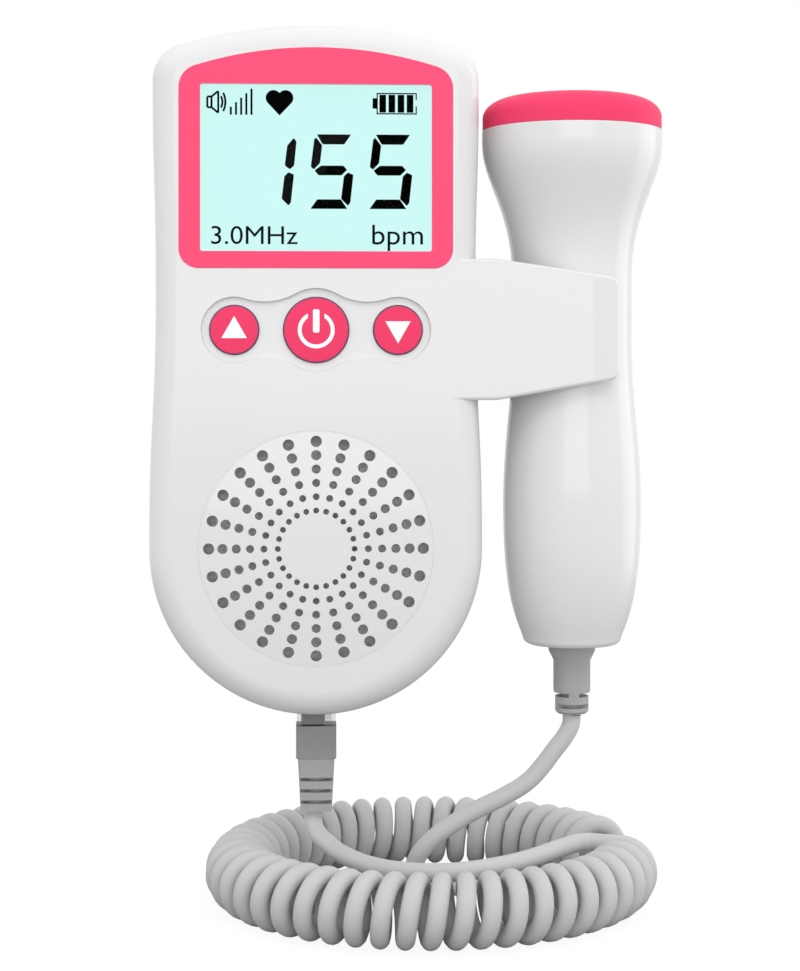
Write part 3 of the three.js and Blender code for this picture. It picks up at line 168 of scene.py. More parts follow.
def round_box(half, low, high, corner, steps):
    """A rectangle about the middle with round corners, from the lower right one on."""
    points = []
    for i, (side, level) in enumerate(((1, low), (1, high), (-1, high), (-1, low))):
        x = side * (half - corner)
        z = low + corner if level == low else high - corner
        points += arc(x, z, corner, corner, (i - 1) * QUARTER_TURN, i * QUARTER_TURN, steps)
    return points


# %% Solids
def verts_of(geom):
    return [g for g in geom if isinstance(g, bmesh.types.BMVert)]


def pushed(outline, low, high, upright=False):
    """A face of (x, z) points pushed from y = low to high, or of (x, y) points pushed up."""
    bm = bmesh.new()
    at = [(a, b, low) if upright else (a, low, b) for a, b in outline]
    face = bm.faces.new([bm.verts.new(p) for p in at])
    moved = bmesh.ops.extrude_face_region(bm, geom=[face])["geom"]
    step = (0, 0, high - low) if upright else (0, high - low, 0)
    bmesh.ops.translate(bm, vec=step, verts=verts_of(moved))
    bmesh.ops.recalc_face_normals(bm, faces=bm.faces)
    return bm


def block(x0, x1, y0, y1, z0, z1):
    bm = bmesh.new()
    size = Matrix.Diagonal((x1 - x0, y1 - y0, z1 - z0, 1))
    middle = Matrix.Translation(((x0 + x1) / 2, (y0 + y1) / 2, (z0 + z1) / 2))
    bmesh.ops.create_cube(bm, size=1, matrix=middle @ size)
    return bm


def wide_block(half, y0, y1, z0, z1):
    return block(-half, half, y0, y1, z0, z1)


# %% Edges
def edges_at(bm, level, axis="y"):
    """Edges that lie in the plane where one coordinate has this value."""
    return [e for e in bm.edges
            if all(abs(getattr(v.co, axis) - level) < TINY for v in e.verts)]


def rounded(bm, edges, radius, steps, clamp=True):
    bmesh.ops.bevel(bm, geom=edges, offset=radius, segments=steps, profile=0.5,
                    affect="EDGES", material=-1, clamp_overlap=clamp)
    return bm


def across(bm):
    """The edges that run straight from front to back."""
    return [e for e in bm.edges if abs(e.verts[0].co.y - e.verts[1].co.y) > TINY
            and (e.verts[0].co.xz - e.verts[1].co.xz).length < TINY]


def sharp_edges(bm, angle=40):
    """Edges where two faces meet at more than this many degrees."""
    limit = radians(angle)
    return [e for e in bm.edges if len(e.link_faces) == 2 and e.calc_face_angle() > limit]


# %% Turned shapes
def turned(profile, center, axis="z", steps=96):
    """A profile of (radius, height) turned once round an upright axis, or one along y."""
    def place(radius, height):
        x = center[0] + radius
        return (x, center[1], height) if axis == "z" else (x, height, center[1])

    bm = bmesh.new()
    verts = [bm.verts.new(place(*point)) for point in profile]
    edges = [bm.edges.new(pair) for pair in zip(verts, verts[1:])]
    bmesh.ops.spin(bm, geom=verts + edges, cent=place(0, 0), dvec=(0, 0, 0), angle=FULL_TURN,
                   axis=(0, 0, 1) if axis == "z" else (0, 1, 0), steps=steps, use_merge=True)
    bmesh.ops.remove_doubles(bm, verts=bm.verts, dist=TINY)
    bmesh.ops.recalc_face_normals(bm, faces=bm.faces)
    return bm


# %% Faces
def split_by_plane(bm, place, normal, clear=False):
    """Cuts every face along a plane, and can take away what lies beyond it."""
    bmesh.ops.bisect_plane(bm, geom=bm.verts[:] + bm.edges[:] + bm.faces[:], dist=TINY,
                           plane_co=place, plane_no=normal, clear_outer=clear)


def marked(bm, test):
    """Gives the second finish to each face whose middle and normal pass the test."""
    for face in bm.faces:
        face.material_index = int(test(face.calc_center_median(), face.normal))
    return bm


# %% Booleans
def rough_object(bm):
    mesh = bpy.data.meshes.new("rough")
    bm.to_mesh(mesh)
    bm.free()
    return new_object("rough", mesh)


def combined(first, second, operation):
    """The exact boolean of two bmeshes, as a new bmesh."""
    kept = rough_object(first)
    tool = rough_object(second)
    step = kept.modifiers.new("cut", "BOOLEAN")
    step.object = tool
    step.operation = operation
    step.solver = "EXACT"
    shaped = kept.evaluated_get(bpy.context.evaluated_depsgraph_get())
    bm = bmesh.new()
    bm.from_mesh(shaped.to_mesh())
    shaped.to_mesh_clear()
    for rough in (kept, tool):
        data = rough.data
        bpy.data.objects.remove(rough)
        bpy.data.meshes.remove(data)
    return bm


def cut(bm, *tools):
    for tool in tools:
        bm = combined(bm, tool, "DIFFERENCE")
    return bm


def joined(bm, *parts):
    for part in parts:
        bm = combined(bm, part, "UNION")
    return bm


def merged(*parts):
    """Several bmeshes laid into one, without any cutting."""
    whole = bmesh.new()
    for part in parts:
        mesh = bpy.data.meshes.new("part")
        part.to_mesh(mesh)
        part.free()
        whole.from_mesh(mesh)
        bpy.data.meshes.remove(mesh)
    return whole


# %% [markdown]
# ## Finishes
# The hand unit is polished ABS, the display's frame is printed acrylic, the keys and the
# probe's face are pink ABS with a satin gloss, and the cord is soft PVC. Moulded plastic is
# never perfectly even: the tool's polish leaves a faint waviness that softens reflections,
# so each finish gets a fine relief and a slight drift of tone, both in real millimetres.

# %% Nodes and colours
def linear(code):
    """An sRGB hex value as a linear colour."""
    channels = [int(code[i:i + 2], 16) / 255 for i in (1, 3, 5)]
    flat = [c / 12.92 if c <= 0.04045 else ((c + 0.055) / 1.055) ** 2.4 for c in channels]
    return (*flat, 1)


def add_node(tree, kind, settings=None, inputs=None):
    """Adds a node, with its settings and with values or links on its inputs."""
    made = tree.nodes.new(kind)
    for name, value in (settings or {}).items():
        setattr(made, name, value)
    for key, value in (inputs or {}).items():
        if isinstance(value, bpy.types.NodeSocket):
            tree.links.new(value, made.inputs[key])
        else:
            made.inputs[key].default_value = value
    return made


def per_metre(size_mm):
    """The scale of a pattern whose repeat is this many millimetres."""
    return 1 / (size_mm * MM)


def math_node(tree, operation, a, b):
    return add_node(tree, "ShaderNodeMath", {"operation": operation}, {0: a, 1: b}).outputs[0]


def mix_colour(tree, factor, first, second):
    return add_node(tree, "ShaderNodeMix", {"data_type": "RGBA"},
                    {"Factor": factor, 6: first, 7: second}).outputs[2]


def noise(tree, place, size_mm, detail):
    return add_node(tree, "ShaderNodeTexNoise", None,
                    {"Vector": place, "Scale": per_metre(size_mm), "Detail": detail}
                    ).outputs["Fac"]


def add_relief(tree, height, depth_mm):
    bump = add_node(tree, "ShaderNodeBump", None,
                    {"Height": height, "Distance": depth_mm * MM, "Strength": 1.0})
    tree.links.new(bump.outputs["Normal"], tree.nodes["Principled BSDF"].inputs["Normal"])


def moulded(name, light, dark, roughness, grain_mm, relief_mm, drift_mm=30, **sockets):
    """A surface with a relief of one size and a slow drift between two close colours."""
    made = bpy.data.materials.new(name)
    made.use_nodes = True
    tree = made.node_tree
    shader = tree.nodes["Principled BSDF"]
    shader.inputs["Roughness"].default_value = roughness
    for key, value in sockets.items():
        shader.inputs[key.replace("_", " ")].default_value = value
    place = add_node(tree, "ShaderNodeTexCoord").outputs["Object"]
    tone = mix_colour(tree, noise(tree, place, drift_mm, 2.0), linear(light), linear(dark))
    tree.links.new(tone, shader.inputs["Base Color"])
    add_relief(tree, noise(tree, place, grain_mm, 3.0), relief_mm)
    return made


# %% The finishes
# Polished ABS: near white, a soft gloss and a waviness a few millimetres long.
white_abs = moulded("polished_white_abs", "#E3E3E3", "#E1E1E2", 0.09, 4, 0.0004, IOR=1.5)
# Fine textured ABS: the same resin out of an etched tool.
matt_abs = moulded("etched_white_abs", "#E2E2E0", "#DCDCDA", 0.55, 0.4, 0.01, IOR=1.5)
# Acrylic printed in pink from behind, under a clear face.
pink_acrylic = moulded("printed_pink_acrylic", "#FF4B78", "#FF4976", 0.3, 6, 0.002, IOR=1.3)
# Pink ABS with a satin gloss, for the keys and the face of the probe.
pink_abs = moulded("satin_pink_abs", "#F3446E", "#F1426C", 0.5, 0.8, 0.003, IOR=1.18)
# Painted shade: a darker plum on the keys' rims and flanges, standing in for the shadow in the
# gap round each key.
key_rim_painted_shade = moulded("plum_key_rim_painted_shade", "#85486E", "#79426A", 0.3, 0.6, 0.004, IOR=1.5)
# White pad printing on the keys.
white_ink = moulded("white_pad_print", "#FFFFFF", "#FCFCFC", 0.45, 0.3, 0.002)
# Soft PVC of the cord: dull, with the fine drag marks of its die.
cord_pvc = moulded("soft_grey_pvc", "#CBCBCB", "#C5C5C5", 0.6, 0.9, 0.008, IOR=1.4)
# Moulded soft PVC of the strain reliefs, a darker grey and slightly grained.
boot_pvc = moulded("moulded_grey_pvc", "#AEAEAE", "#A6A6A6", 0.6, 0.5, 0.015, IOR=1.4)
# A darker copy of the boot's grey PVC on the collar that grips the plug, as painted shade, and
# the cord's flat end inside the plug.
collar_pvc_painted_shade = moulded("collar_grey_pvc_painted_shade", "#9C9C9C", "#969696", 0.5, 0.6, 0.01, IOR=1.4)
# The cord's end inside the plug is painted dark grey, as painted shade inside the clear plug.
cord_end_painted_shade = moulded("dark_cord_end_painted_shade", "#3C3C3C", "#303030", 0.5, 0.6, 0.02, 2)
# Clear polycarbonate of the plug, and the thin hard pane over the display.
clear_pc = moulded("clear_polycarbonate", "#CDD1D1", "#C6CBCB", 0.12, 3, 0.002, IOR=1.58,
                   Alpha=0.24)
window_pc = moulded("display_pane", "#0A0C0C", "#080A0A", 0.1, 8, 0.001, IOR=1.3, Alpha=0.03)
# The lit liquid crystal, a pale cyan that glows evenly.
lit_crystal = moulded("lit_liquid_crystal", "#2C3A3A", "#283636", 0.4, 2, 0.001, IOR=1.3,
                      Emission_Color=linear("#CFFDF9"), Emission_Strength=0.98)
# Switched-on segments of the crystal, black, and a grey copy at the display's left that is a
# painted reflection of the pane.
dark_segment = moulded("dark_segments", "#010101", "#020202", 0.5, 1, 0.001, IOR=1.02)
segment_painted_reflection = moulded("grey_segments_painted_reflection", "#151516", "#131314", 0.5, 1, 0.001, IOR=1.02)
# Diffusing acrylic of the light guide.
guide_acrylic = moulded("diffusing_acrylic", "#F4F6F6", "#ECEFEF", 0.4, 1, 0.005)
# Solder mask over glass epoxy: green, with the weave of the cloth showing through.
board_mask = moulded("green_solder_mask", "#2F6B45", "#255A38", 0.4, 0.6, 0.01, 2)
# Moulded black nylon of the switches and of the headphone socket.
black_nylon = moulded("moulded_black_nylon", "#232323", "#1C1C1C", 0.45, 0.4, 0.01)
# Nickel plated steel, cold formed.
nickel = moulded("nickel_plated_steel", "#C2C2C6", "#B0B0B4", 0.28, 0.5, 0.004, 4, Metallic=1.0)
# Pressed paper pulp of the loudspeaker's cone.
paper_pulp = moulded("pressed_paper", "#8C857A", "#776F64", 0.9, 0.3, 0.05, 1.5)
# Sintered ferrite of the magnet.
ferrite = moulded("sintered_ferrite", "#3B3B3E", "#303033", 0.6, 0.3, 0.03, 3)
# Shrunk plastic sleeve of a battery cell, plain silver grey.
cell_sleeve = moulded("cell_sleeve", "#9AA0A8", "#8E949C", 0.3, 2, 0.006, 12, Metallic=0.5)
# Silvered piezo ceramic and the foam that damps it.
piezo_ceramic = moulded("silvered_ceramic", "#CFC6B0", "#C2B9A2", 0.45, 0.4, 0.01, 3)
damping_foam = moulded("damping_foam", "#2C2C2E", "#232325", 0.9, 0.5, 0.08, 2)
print(len(bpy.data.materials), "materials")

# %% [markdown]
# ## The dust cloth
# Behind the grille lies a thin woven mesh. Real threads are about 0.1 mm apart, too fine to
# show here, so the weave is drawn at 0.45 mm. Two crossed waves make it.

# %% Woven mesh
THREAD_PITCH = 0.45
THREAD_RELIEF = 0.08
dust_mesh = moulded("woven_dust_mesh", "#E4E4E4", "#E0E0E0", 0.85, 0.4, 0.01, 8)
tree = dust_mesh.node_tree
threads = []
for direction in ("X", "Z"):
    place = add_node(tree, "ShaderNodeTexCoord").outputs["Object"]
    wave = add_node(tree, "ShaderNodeTexWave",
                    {"wave_type": "BANDS", "bands_direction": direction, "wave_profile": "SIN"},
                    {"Vector": place, "Scale": per_metre(THREAD_PITCH) / FULL_TURN,
                     "Distortion": 0.0})
    threads.append(wave.outputs["Fac"])
add_relief(tree, math_node(tree, "MAXIMUM", *threads), THREAD_RELIEF)

# %% [markdown]
# ## The camera
# The photograph looks straight at the display from close by. The eye is level with the
# middle of the unit and turned a little to the right, towards the probe, and the frame is
# slid down so that the curly cord comes in. That slide is the camera's shift.

# %% Camera
EYE_DISTANCE = 390
EYE = (0, PARTING_Y - EYE_DISTANCE, -1.5)
YAW = radians(2.435)
camera = bpy.data.cameras.new("camera")
camera.sensor_width = 36
camera.lens = 73.3
camera.shift_x = -0.0003
camera.shift_y = -0.1107
camera.clip_start = 0.01
camera.clip_end = 30
eye = new_object("camera", camera)
eye.location = Vector(EYE) * MM
eye.rotation_euler = (QUARTER_TURN, 0, -YAW)
scene.camera = eye
print("the eye is", EYE_DISTANCE, "mm in front of the case's middle")

# %% [markdown]
# ## The curly cord
# A handset cord is wound on a rod and heated, so it keeps its curls. Here the curls lie in
# a ring on the table. One formula winds them: a point runs round an oval and, much faster,
# round a small circle that stands across it. The curls stand closer where the ring bends
# less, so that their inner sides keep one even gap. The leads at both ends follow a few
# chosen points, as the cord hangs and lies.

# %% Winding
CORD = 3.45
SKIN = 3.58
FLOOR_Z = -105
CURL_OUTER = 6.9
RING_X = 22.7
RING_HALF_X = 37.5
RING_HALF_Y = 32.5
CURLS = 44.5
START_ANGLE = radians(-8)
END_ANGLE = radians(-340)
STEPS_A_CURL = 16
SAMPLES = 4000
curl_radius = CURL_OUTER - CORD / 2
curl_axis_z = FLOOR_Z + CURL_OUTER


def ring_point(angle):
    return Vector((RING_X + RING_HALF_X * cos(angle),
                   PARTING_Y + RING_HALF_Y * sin(angle), curl_axis_z))


def ring_normal(angle):
    return Vector((cos(angle) / RING_HALF_X, sin(angle) / RING_HALF_Y, 0)).normalized()


def ring_speed(angle):
    return hypot(RING_HALF_X * sin(angle), RING_HALF_Y * cos(angle))


def curl_density(angle):
    bend = ring_speed(angle) ** 3 / (RING_HALF_X * RING_HALF_Y)
    return (bend - curl_radius) / bend


def ring_angles(steps):
    """The angle round the ring at each even step of the winding."""
    sums = [0]
    for i in range(SAMPLES):
        angle = START_ANGLE + (i + 0.5) / SAMPLES * (END_ANGLE - START_ANGLE)
        sums.append(sums[-1] + ring_speed(angle) * curl_density(angle))
    angles = []
    at = 0
    for i in range(steps + 1):
        wanted = i / steps * sums[-1]
        while at < SAMPLES - 1 and sums[at + 1] < wanted:
            at += 1
        share = (wanted - sums[at]) / (sums[at + 1] - sums[at])
        angles.append(START_ANGLE + (at + share) / SAMPLES * (END_ANGLE - START_ANGLE))
    return angles


# %% Curls
def flat_direction(a, b):
    return Vector((b.x - a.x, b.y - a.y, 0)).normalized()


def curl_path():
    """From the top of the first curl to the bottom of the last, with straight ends."""
    path = []
    for i, angle in enumerate(ring_angles(round(CURLS * STEPS_A_CURL))):
        turn = QUARTER_TURN - i / STEPS_A_CURL * FULL_TURN
        path.append(ring_point(angle) + curl_radius * cos(turn) * ring_normal(angle)
                    + Vector((0, 0, curl_radius * sin(turn))))
    path.insert(0, path[0] - CORD * flat_direction(path[0], path[1]))
    path.append(path[-1] + CORD * flat_direction(path[-2], path[-1]))
    return path


# %% Leads
UNIT_LEAD = [
    (-0.4, -15.5, -86.6), (-0.6, -15.6, -88.2), (-0.2, -16.6, -90.0), (2.4, -20.2, -92.3),
    (6.6, -26.4, -93.6), (11.6, -32.0, -94.0), (16.8, -35.8, -93.9), (22.2, -38.2, -93.6),
    (28.2, -38.6, -93.2), (34.0, -36.6, -92.9), (39.4, -32.6, -92.8), (43.8, -27.6, -92.8),
    (47.6, -22.6, -92.9),
]
PROBE_LEAD = [
    (50.6, -15.5, -68.1), (50.35, -15.5, -70.3), (49.1, -15.5, -72.6), (47.1, -15.5, -75.2),
    (44.75, -15.5, -78.3), (41.9, -15.5, -81.3), (37.6, -15.5, -84.0), (32.2, -15.6, -86.6),
    (26.9, -15.8, -89.6), (22.3, -16.0, -93.1), (19.6, -15.8, -96.8), (19.4, -14.8, -100.0),
    (21.6, -13.0, -102.5), (26.2, -11.0, -103.25), (32.6, -9.4, -103.275),
    (39.6, -8.4, -103.275),
]
curls = curl_path()


def lead_path(route, end, beyond):
    """The route, then two points straight into the end of the curls."""
    away = (beyond - end).normalized()
    return [Vector(p) for p in route] + [end - CORD * away, end]


# %% [markdown]
# A Bezier curve through the points, given a round thickness, is the simplest smooth tube.
# It becomes a mesh, because the leads have to bend when the plug or the probe is moved.
# The same curve without thickness gives the line that the tube follows.

# %% Tubes
def mesh_of(source):
    """The mesh that a curve or a text makes. Its object is removed."""
    bpy.context.view_layer.update()
    shaped = source.evaluated_get(bpy.context.evaluated_depsgraph_get())
    mesh = bpy.data.meshes.new_from_object(shaped)
    bpy.data.objects.remove(source)
    return mesh


def cord_piece(name, points, resolution):
    """A round tube through the points, and the fine line along its middle, in metres."""
    curve = bpy.data.curves.new(name, "CURVE")
    curve.dimensions = "3D"
    spline = curve.splines.new("BEZIER")
    spline.bezier_points.add(len(points) - 1)
    for knot, place in zip(spline.bezier_points, points):
        knot.co = place * MM
        knot.handle_left_type = "AUTO"
        knot.handle_right_type = "AUTO"
    curve.resolution_u = resolution
    line = new_object(name + "_line", curve)
    middle = line.to_mesh()
    path = [v.co.copy() for v in middle.vertices]
    line.to_mesh_clear()
    curve.bevel_depth = SKIN / 2 * MM
    curve.bevel_resolution = 6
    curve.use_fill_caps = True
    mesh = mesh_of(line)
    mesh.name = name
    mesh.materials.clear()
    mesh.materials.append(cord_pvc)
    mesh.shade_smooth()
    mesh.set_sharp_from_angle(angle=radians(50))
    made = new_object(name, mesh)
    length = sum((b - a).length for a, b in zip(path, path[1:]))
    print(name, "is", round(length, 4), "m long,", len(mesh.polygons), "faces")
    return made, path, length


# %% The three stretches
cord_curls, curls_path, curls_length = cord_piece("curly_cord", curls, 2)
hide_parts("cord_curls")
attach(cord_curls, "root")
unit_lead, unit_path, unit_length = cord_piece(
    "unit_lead", lead_path(UNIT_LEAD, curls[0], curls[1]), 6)
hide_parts("cord_lead_unit")
probe_lead, probe_path, probe_length = cord_piece(
    "probe_lead", lead_path(PROBE_LEAD, curls[-1], curls[-2]), 6)
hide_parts("cord_lead_probe")
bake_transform(unit_lead)
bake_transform(probe_lead)

# %% [markdown]
# ## The hand unit's outline
# Seen from the front the case is an arched top on round shoulders, sides that draw in a
# little at the waist, and a round lower end. The same outline, drawn in by a wall, gives
# the inside. Both covers use it, so they meet exactly.

# %% Case outline
BOW_HALF = cover_high.x
BOW_RISE = 31.9
WAIST_HALF = 30.65
WAIST_Z = 16
SHOULDER_HALF = 31.25
SHOULDER_RADIUS = 7
CROWN_RADIUS = 91
EDGE_RADIUS = 5
WALL = 2.2
FRONT_WALL = 2.4


def crown(half, top, radius, corner, steps):
    """Right corner, arched top and left corner, as one run of points."""
    center_z = top - radius
    x = half - corner
    z = center_z + sqrt((radius - corner) ** 2 - x ** 2)
    lean = atan2(z - center_z, x)
    right = arc(x, z, corner, corner, 0, lean, steps)
    top_run = arc(0, center_z, radius, radius, lean, HALF_TURN - lean, 3 * steps)[1:-1]
    left = arc(-x, z, corner, corner, HALF_TURN - lean, HALF_TURN, steps)
    return right + top_run + left, z


def case_outline(inset):
    """The case seen from the front, drawn in all round by an inset."""
    bow_x = BOW_HALF - inset
    bow_z = BOW_RISE - CASE_TOP
    side_x = SHOULDER_HALF - inset
    waist = WAIST_HALF - inset
    top_run, side_z = crown(side_x, CASE_TOP - inset, CROWN_RADIUS - inset,
                            SHOULDER_RADIUS - inset, 10)
    low = (WAIST_Z - bow_z) / 2
    high = (side_z - WAIST_Z) / 2
    right = bezier((bow_x, bow_z), (bow_x, bow_z + low), (waist, WAIST_Z - low),
                   (waist, WAIST_Z), 12)[1:]
    right += bezier((waist, WAIST_Z), (waist, WAIST_Z + high), (side_x, side_z - high),
                    (side_x, side_z), 12)[1:-1]
    bow = arc(0, bow_z, bow_x, BOW_RISE - inset, HALF_TURN, FULL_TURN, 64)
    return bow + right + top_run + mirrored(right)


def half_case(inset, seam_y, face_y, steps):
    """A half of the case, or of the hollow in it, with the edge of its face rounded."""
    bm = pushed(case_outline(inset), min(seam_y, face_y), max(seam_y, face_y))
    return rounded(bm, edges_at(bm, face_y), EDGE_RADIUS - inset, steps)


# %% [markdown]
# ## The holder
# Two arms grip the probe's handle. Their outer faces are flush with the case, and from
# the middle of the probe on they curve in. The plan of the arms is pushed up, and then cut
# to the tapering outline that the photograph shows from the front. Two hooks hold it over
# the case's edges. It is made before the covers, because its own shape cuts its seat in
# them, so that the joint closes without a gap. A flat land beside the hooks lets the arm
# and the cover run on as one plain face.

# %% Holder
holder_low, holder_high = box_mm("probe_holder")
HOOK = 1.6
ARM_EDGE = 0.65
LAND_START = 24.5
ARM = 3.1
ARM_TIP = 1.5
ARM_TIP_RUN = 2.2
WEB = 2.5
TIP_CORNER = 1.9
TIP_TOP = 18
TIP_LOW = -1.9
TIP_LEAN = radians(80)
PROBE_X = 50.6
WEB_X = BOW_HALF + SEAM


def make_holder():
    root_x, tip_x = holder_low.x, holder_high.x
    low_z, high_z = holder_low.z, holder_high.z
    taper = ARM - ARM_TIP
    inner_front = FRONT_Y + ARM
    bend = bezier((PROBE_X, FRONT_Y), (PROBE_X + 3, FRONT_Y),
                  (tip_x - ARM_TIP_RUN, FRONT_Y + taper * 0.45), (tip_x, FRONT_Y + taper), 14)
    half = [(root_x, FRONT_Y), *bend, (tip_x, inner_front), (WEB_X + WEB, inner_front)]
    back = [(x, FRONT_Y + REAR_Y - y) for x, y in reversed(half)]
    hook = [(root_x, -HOOK), (WEB_X, -HOOK), (WEB_X, FRONT_Y + HOOK), (root_x, FRONT_Y + HOOK)]
    plan = pushed(half + back + hook, low_z - OVERRUN, high_z + OVERRUN, True)
    r = TIP_CORNER
    face = (arc(tip_x - r, TIP_LOW + r, r, r, -TIP_LEAN, 0, 8)
            + arc(tip_x - r, TIP_TOP - r, r, r, 0, TIP_LEAN, 8)
            + [(WEB_X + WEB, high_z), (root_x, high_z), (root_x, low_z), (WEB_X + WEB, low_z)])
    bm = combined(plan, pushed(face, FRONT_Y - OVERRUN, REAR_Y + OVERRUN), "INTERSECT")
    bmesh.ops.dissolve_limit(bm, angle_limit=radians(0.2), verts=bm.verts, edges=bm.edges)
    soft = [e for e in sharp_edges(bm, 50) if max(v.co.x for v in e.verts) > root_x + TINY]
    return rounded(bm, soft, ARM_EDGE, 5, clamp=False)


def holder_land(face, back):
    """The flat land beside the hooks on one cover, with edges like those of the arms."""
    land = block(LAND_START, holder_low.x, min(face, back), max(face, back), holder_low.z,
                 holder_high.z)
    long_edges = [e for e in edges_at(land, face)
                  if abs(e.verts[0].co.x - e.verts[1].co.x) > TINY]
    return rounded(land, long_edges, ARM_EDGE, 5)


piece(make_holder(), "holder_arms", [white_abs], "probe_holder")

# %% [markdown]
# ## The front cover
# It is moulded in one piece: a flat face with a rounded edge, a seat for the display's
# frame, a lobed dip round the keys, and a round seat for the grille. The outline is pushed
# back, its front edge is rounded with a bevel, and the cuts are made one by one.

# %% Display and key sizes
bezel_low, bezel_high = box_mm("display_bezel")
LENS_HALF = bezel_high.x
LENS_TOP = bezel_high.z
LENS_LOW = bezel_low.z
LENS_ARCH = 76
LENS_TOP_CORNER = 4.3
LENS_LOW_CORNER = 3.7
WINDOW_HALF = 21.95
WINDOW_LOW = 22.5
WINDOW_TOP = 54.2
KEY_Z = 7.6
KEY_SPACING = 15.5
SIDE_KEY_RADIUS = 4.66
POWER_KEY_RADIUS = 6.2
SIDE_LOBE = 6.3
POWER_LOBE = 7.95
NECK = 11.8
DIP_DEPTH = 0.8
DIP_EDGE = 0.28
KEY_GAP = 0.12
keys = {
    "up": (-KEY_SPACING, SIDE_KEY_RADIUS),
    "power": (0, POWER_KEY_RADIUS),
    "down": (KEY_SPACING, SIDE_KEY_RADIUS),
}


def lens_outline(growth=0):
    """The display's frame: arched top, square lower end with round corners."""
    half = LENS_HALF + growth
    low = LENS_LOW_CORNER + growth
    low_z = LENS_LOW - growth + low
    top_run, _ = crown(half, LENS_TOP + growth, LENS_ARCH + growth,
                       LENS_TOP_CORNER + growth, 12)
    right = arc(half - low, low_z, low, low, -QUARTER_TURN, 0, 12)
    left = arc(low - half, low_z, low, low, HALF_TURN, HALF_TURN + QUARTER_TURN, 12)
    return right + top_run + left


def lobed_outline():
    """Three lobes round the keys, joined by hollow necks that touch both lobes."""
    side_reach = SIDE_LOBE + NECK
    middle_reach = POWER_LOBE + NECK
    x = (KEY_SPACING ** 2 + middle_reach ** 2 - side_reach ** 2) / (2 * KEY_SPACING)
    z = sqrt(middle_reach ** 2 - x ** 2)
    side = atan2(z, x - KEY_SPACING)
    middle = atan2(z, x)
    half = arc(KEY_SPACING, KEY_Z, SIDE_LOBE, SIDE_LOBE, 0, side, 24)
    half += arc(x, KEY_Z + z, NECK, NECK, side + HALF_TURN, middle + HALF_TURN, 12)[1:]
    half += arc(0, KEY_Z, POWER_LOBE, POWER_LOBE, middle, QUARTER_TURN, 12)[1:]
    top = half + mirrored(half[:-1])
    return top + [(a, 2 * KEY_Z - b) for a, b in reversed(top[1:-1])]


# %% Grille and socket sizes
grille_low, grille_high = box_mm("speaker_grille")
GRILLE_RADIUS = grille_high.x
GRILLE_Z = (grille_low.z + grille_high.z) / 2
GRILLE_RIM = 0.05
GRILLE_THICKNESS = 0.9
GRILLE_LEDGE = 0.6
GRILLE_STEPS = 192
jack_low, jack_high = box_mm("phone_jack")
EAR_RADIUS = 2.9
EAR_Z = 5
TIGHT = 0.02


def socket_holes():
    jack = block(jack_low.x - FIT, jack_high.x + FIT, jack_low.y - FIT, jack_high.y + FIT,
                 jack_low.z - OVERRUN, WALL + OVERRUN - CASE_TOP)
    bar = bmesh.new()
    turn = Matrix.Rotation(QUARTER_TURN, 4, "Y")
    place = Matrix.Translation((-WAIST_HALF, PARTING_Y, EAR_Z))
    bmesh.ops.create_cone(bar, cap_ends=True, segments=48, radius1=EAR_RADIUS + FIT,
                          radius2=EAR_RADIUS + FIT, depth=2 * (WALL + OVERRUN),
                          matrix=place @ turn)
    return jack, bar


def rod_y(x, z, radius, y0, y1, steps=64):
    """A round rod from front to back."""
    return pushed(circle(x, z, radius, steps), y0, y1)


# %% Front cover
def make_front_cover():
    shell = half_case(0, PARTING_Y - SEAM / 2, FRONT_Y, 10)
    hollow = half_case(WALL, PARTING_Y + OVERRUN, FRONT_Y + FRONT_WALL, 3)
    outside = FRONT_Y - OVERRUN
    inside = FRONT_Y + FRONT_WALL + OVERRUN
    dip = pushed(lobed_outline(), outside, FRONT_Y + DIP_DEPTH)
    rounded(dip, edges_at(dip, FRONT_Y + DIP_DEPTH), DIP_EDGE, 3)
    seat = FRONT_Y + GRILLE_RIM + GRILLE_THICKNESS + TIGHT
    tools = [
        hollow,
        pushed(lens_outline(TIGHT), outside, bezel_high.y + SEAM),
        wide_block(WINDOW_HALF + 1, outside, inside, WINDOW_LOW - 1, WINDOW_TOP + 1),
        dip,
        rod_y(0, GRILLE_Z, GRILLE_RADIUS + TIGHT, outside, seat, GRILLE_STEPS),
        rod_y(0, GRILLE_Z, GRILLE_RADIUS - GRILLE_LEDGE, outside, seat + OVERRUN, 128),
        *(rod_y(x, KEY_Z, radius + KEY_GAP, outside, inside) for x, radius in keys.values()),
        make_holder(),
        *socket_holes(),
    ]
    return cut(joined(shell, holder_land(FRONT_Y, FRONT_Y + HOOK)), *tools)


piece(make_front_cover(), "front_housing", [white_abs], "front_cover")

# %% [markdown]
# ## The display
# A pink frame surrounds a clear pane, and behind it the liquid crystal glows. The frame is
# a plate with its outer edge just broken, and a window with small round corners.

# %% Frame and window
WINDOW_CORNER = 0.5
PANE_MARGIN = 0.7


def window_outline(growth=0):
    return round_box(WINDOW_HALF + growth, WINDOW_LOW - growth, WINDOW_TOP + growth,
                     WINDOW_CORNER, 6)


def make_bezel():
    plate = pushed(lens_outline(), bezel_low.y, bezel_high.y)
    rounded(plate, edges_at(plate, bezel_low.y), 0.08, 2)
    return cut(plate, pushed(window_outline(), bezel_low.y - OVERRUN, bezel_high.y + OVERRUN))


piece(make_bezel(), "display_frame", [pink_acrylic], "display_bezel")
pane_low, pane_high = box_mm("display_window")
pane = pushed(window_outline(PANE_MARGIN), pane_low.y, pane_high.y)
piece(pane, "display_pane", [window_pc], "display_window")
panel_low, panel_high = box_mm("lcd_panel")
panel = block(panel_low.x, panel_high.x, panel_low.y, panel_high.y, panel_low.z, panel_high.z)
rounded(panel, panel.edges[:], 0.2, 2)
piece(panel, "liquid_crystal", [lit_crystal], "lcd_panel")

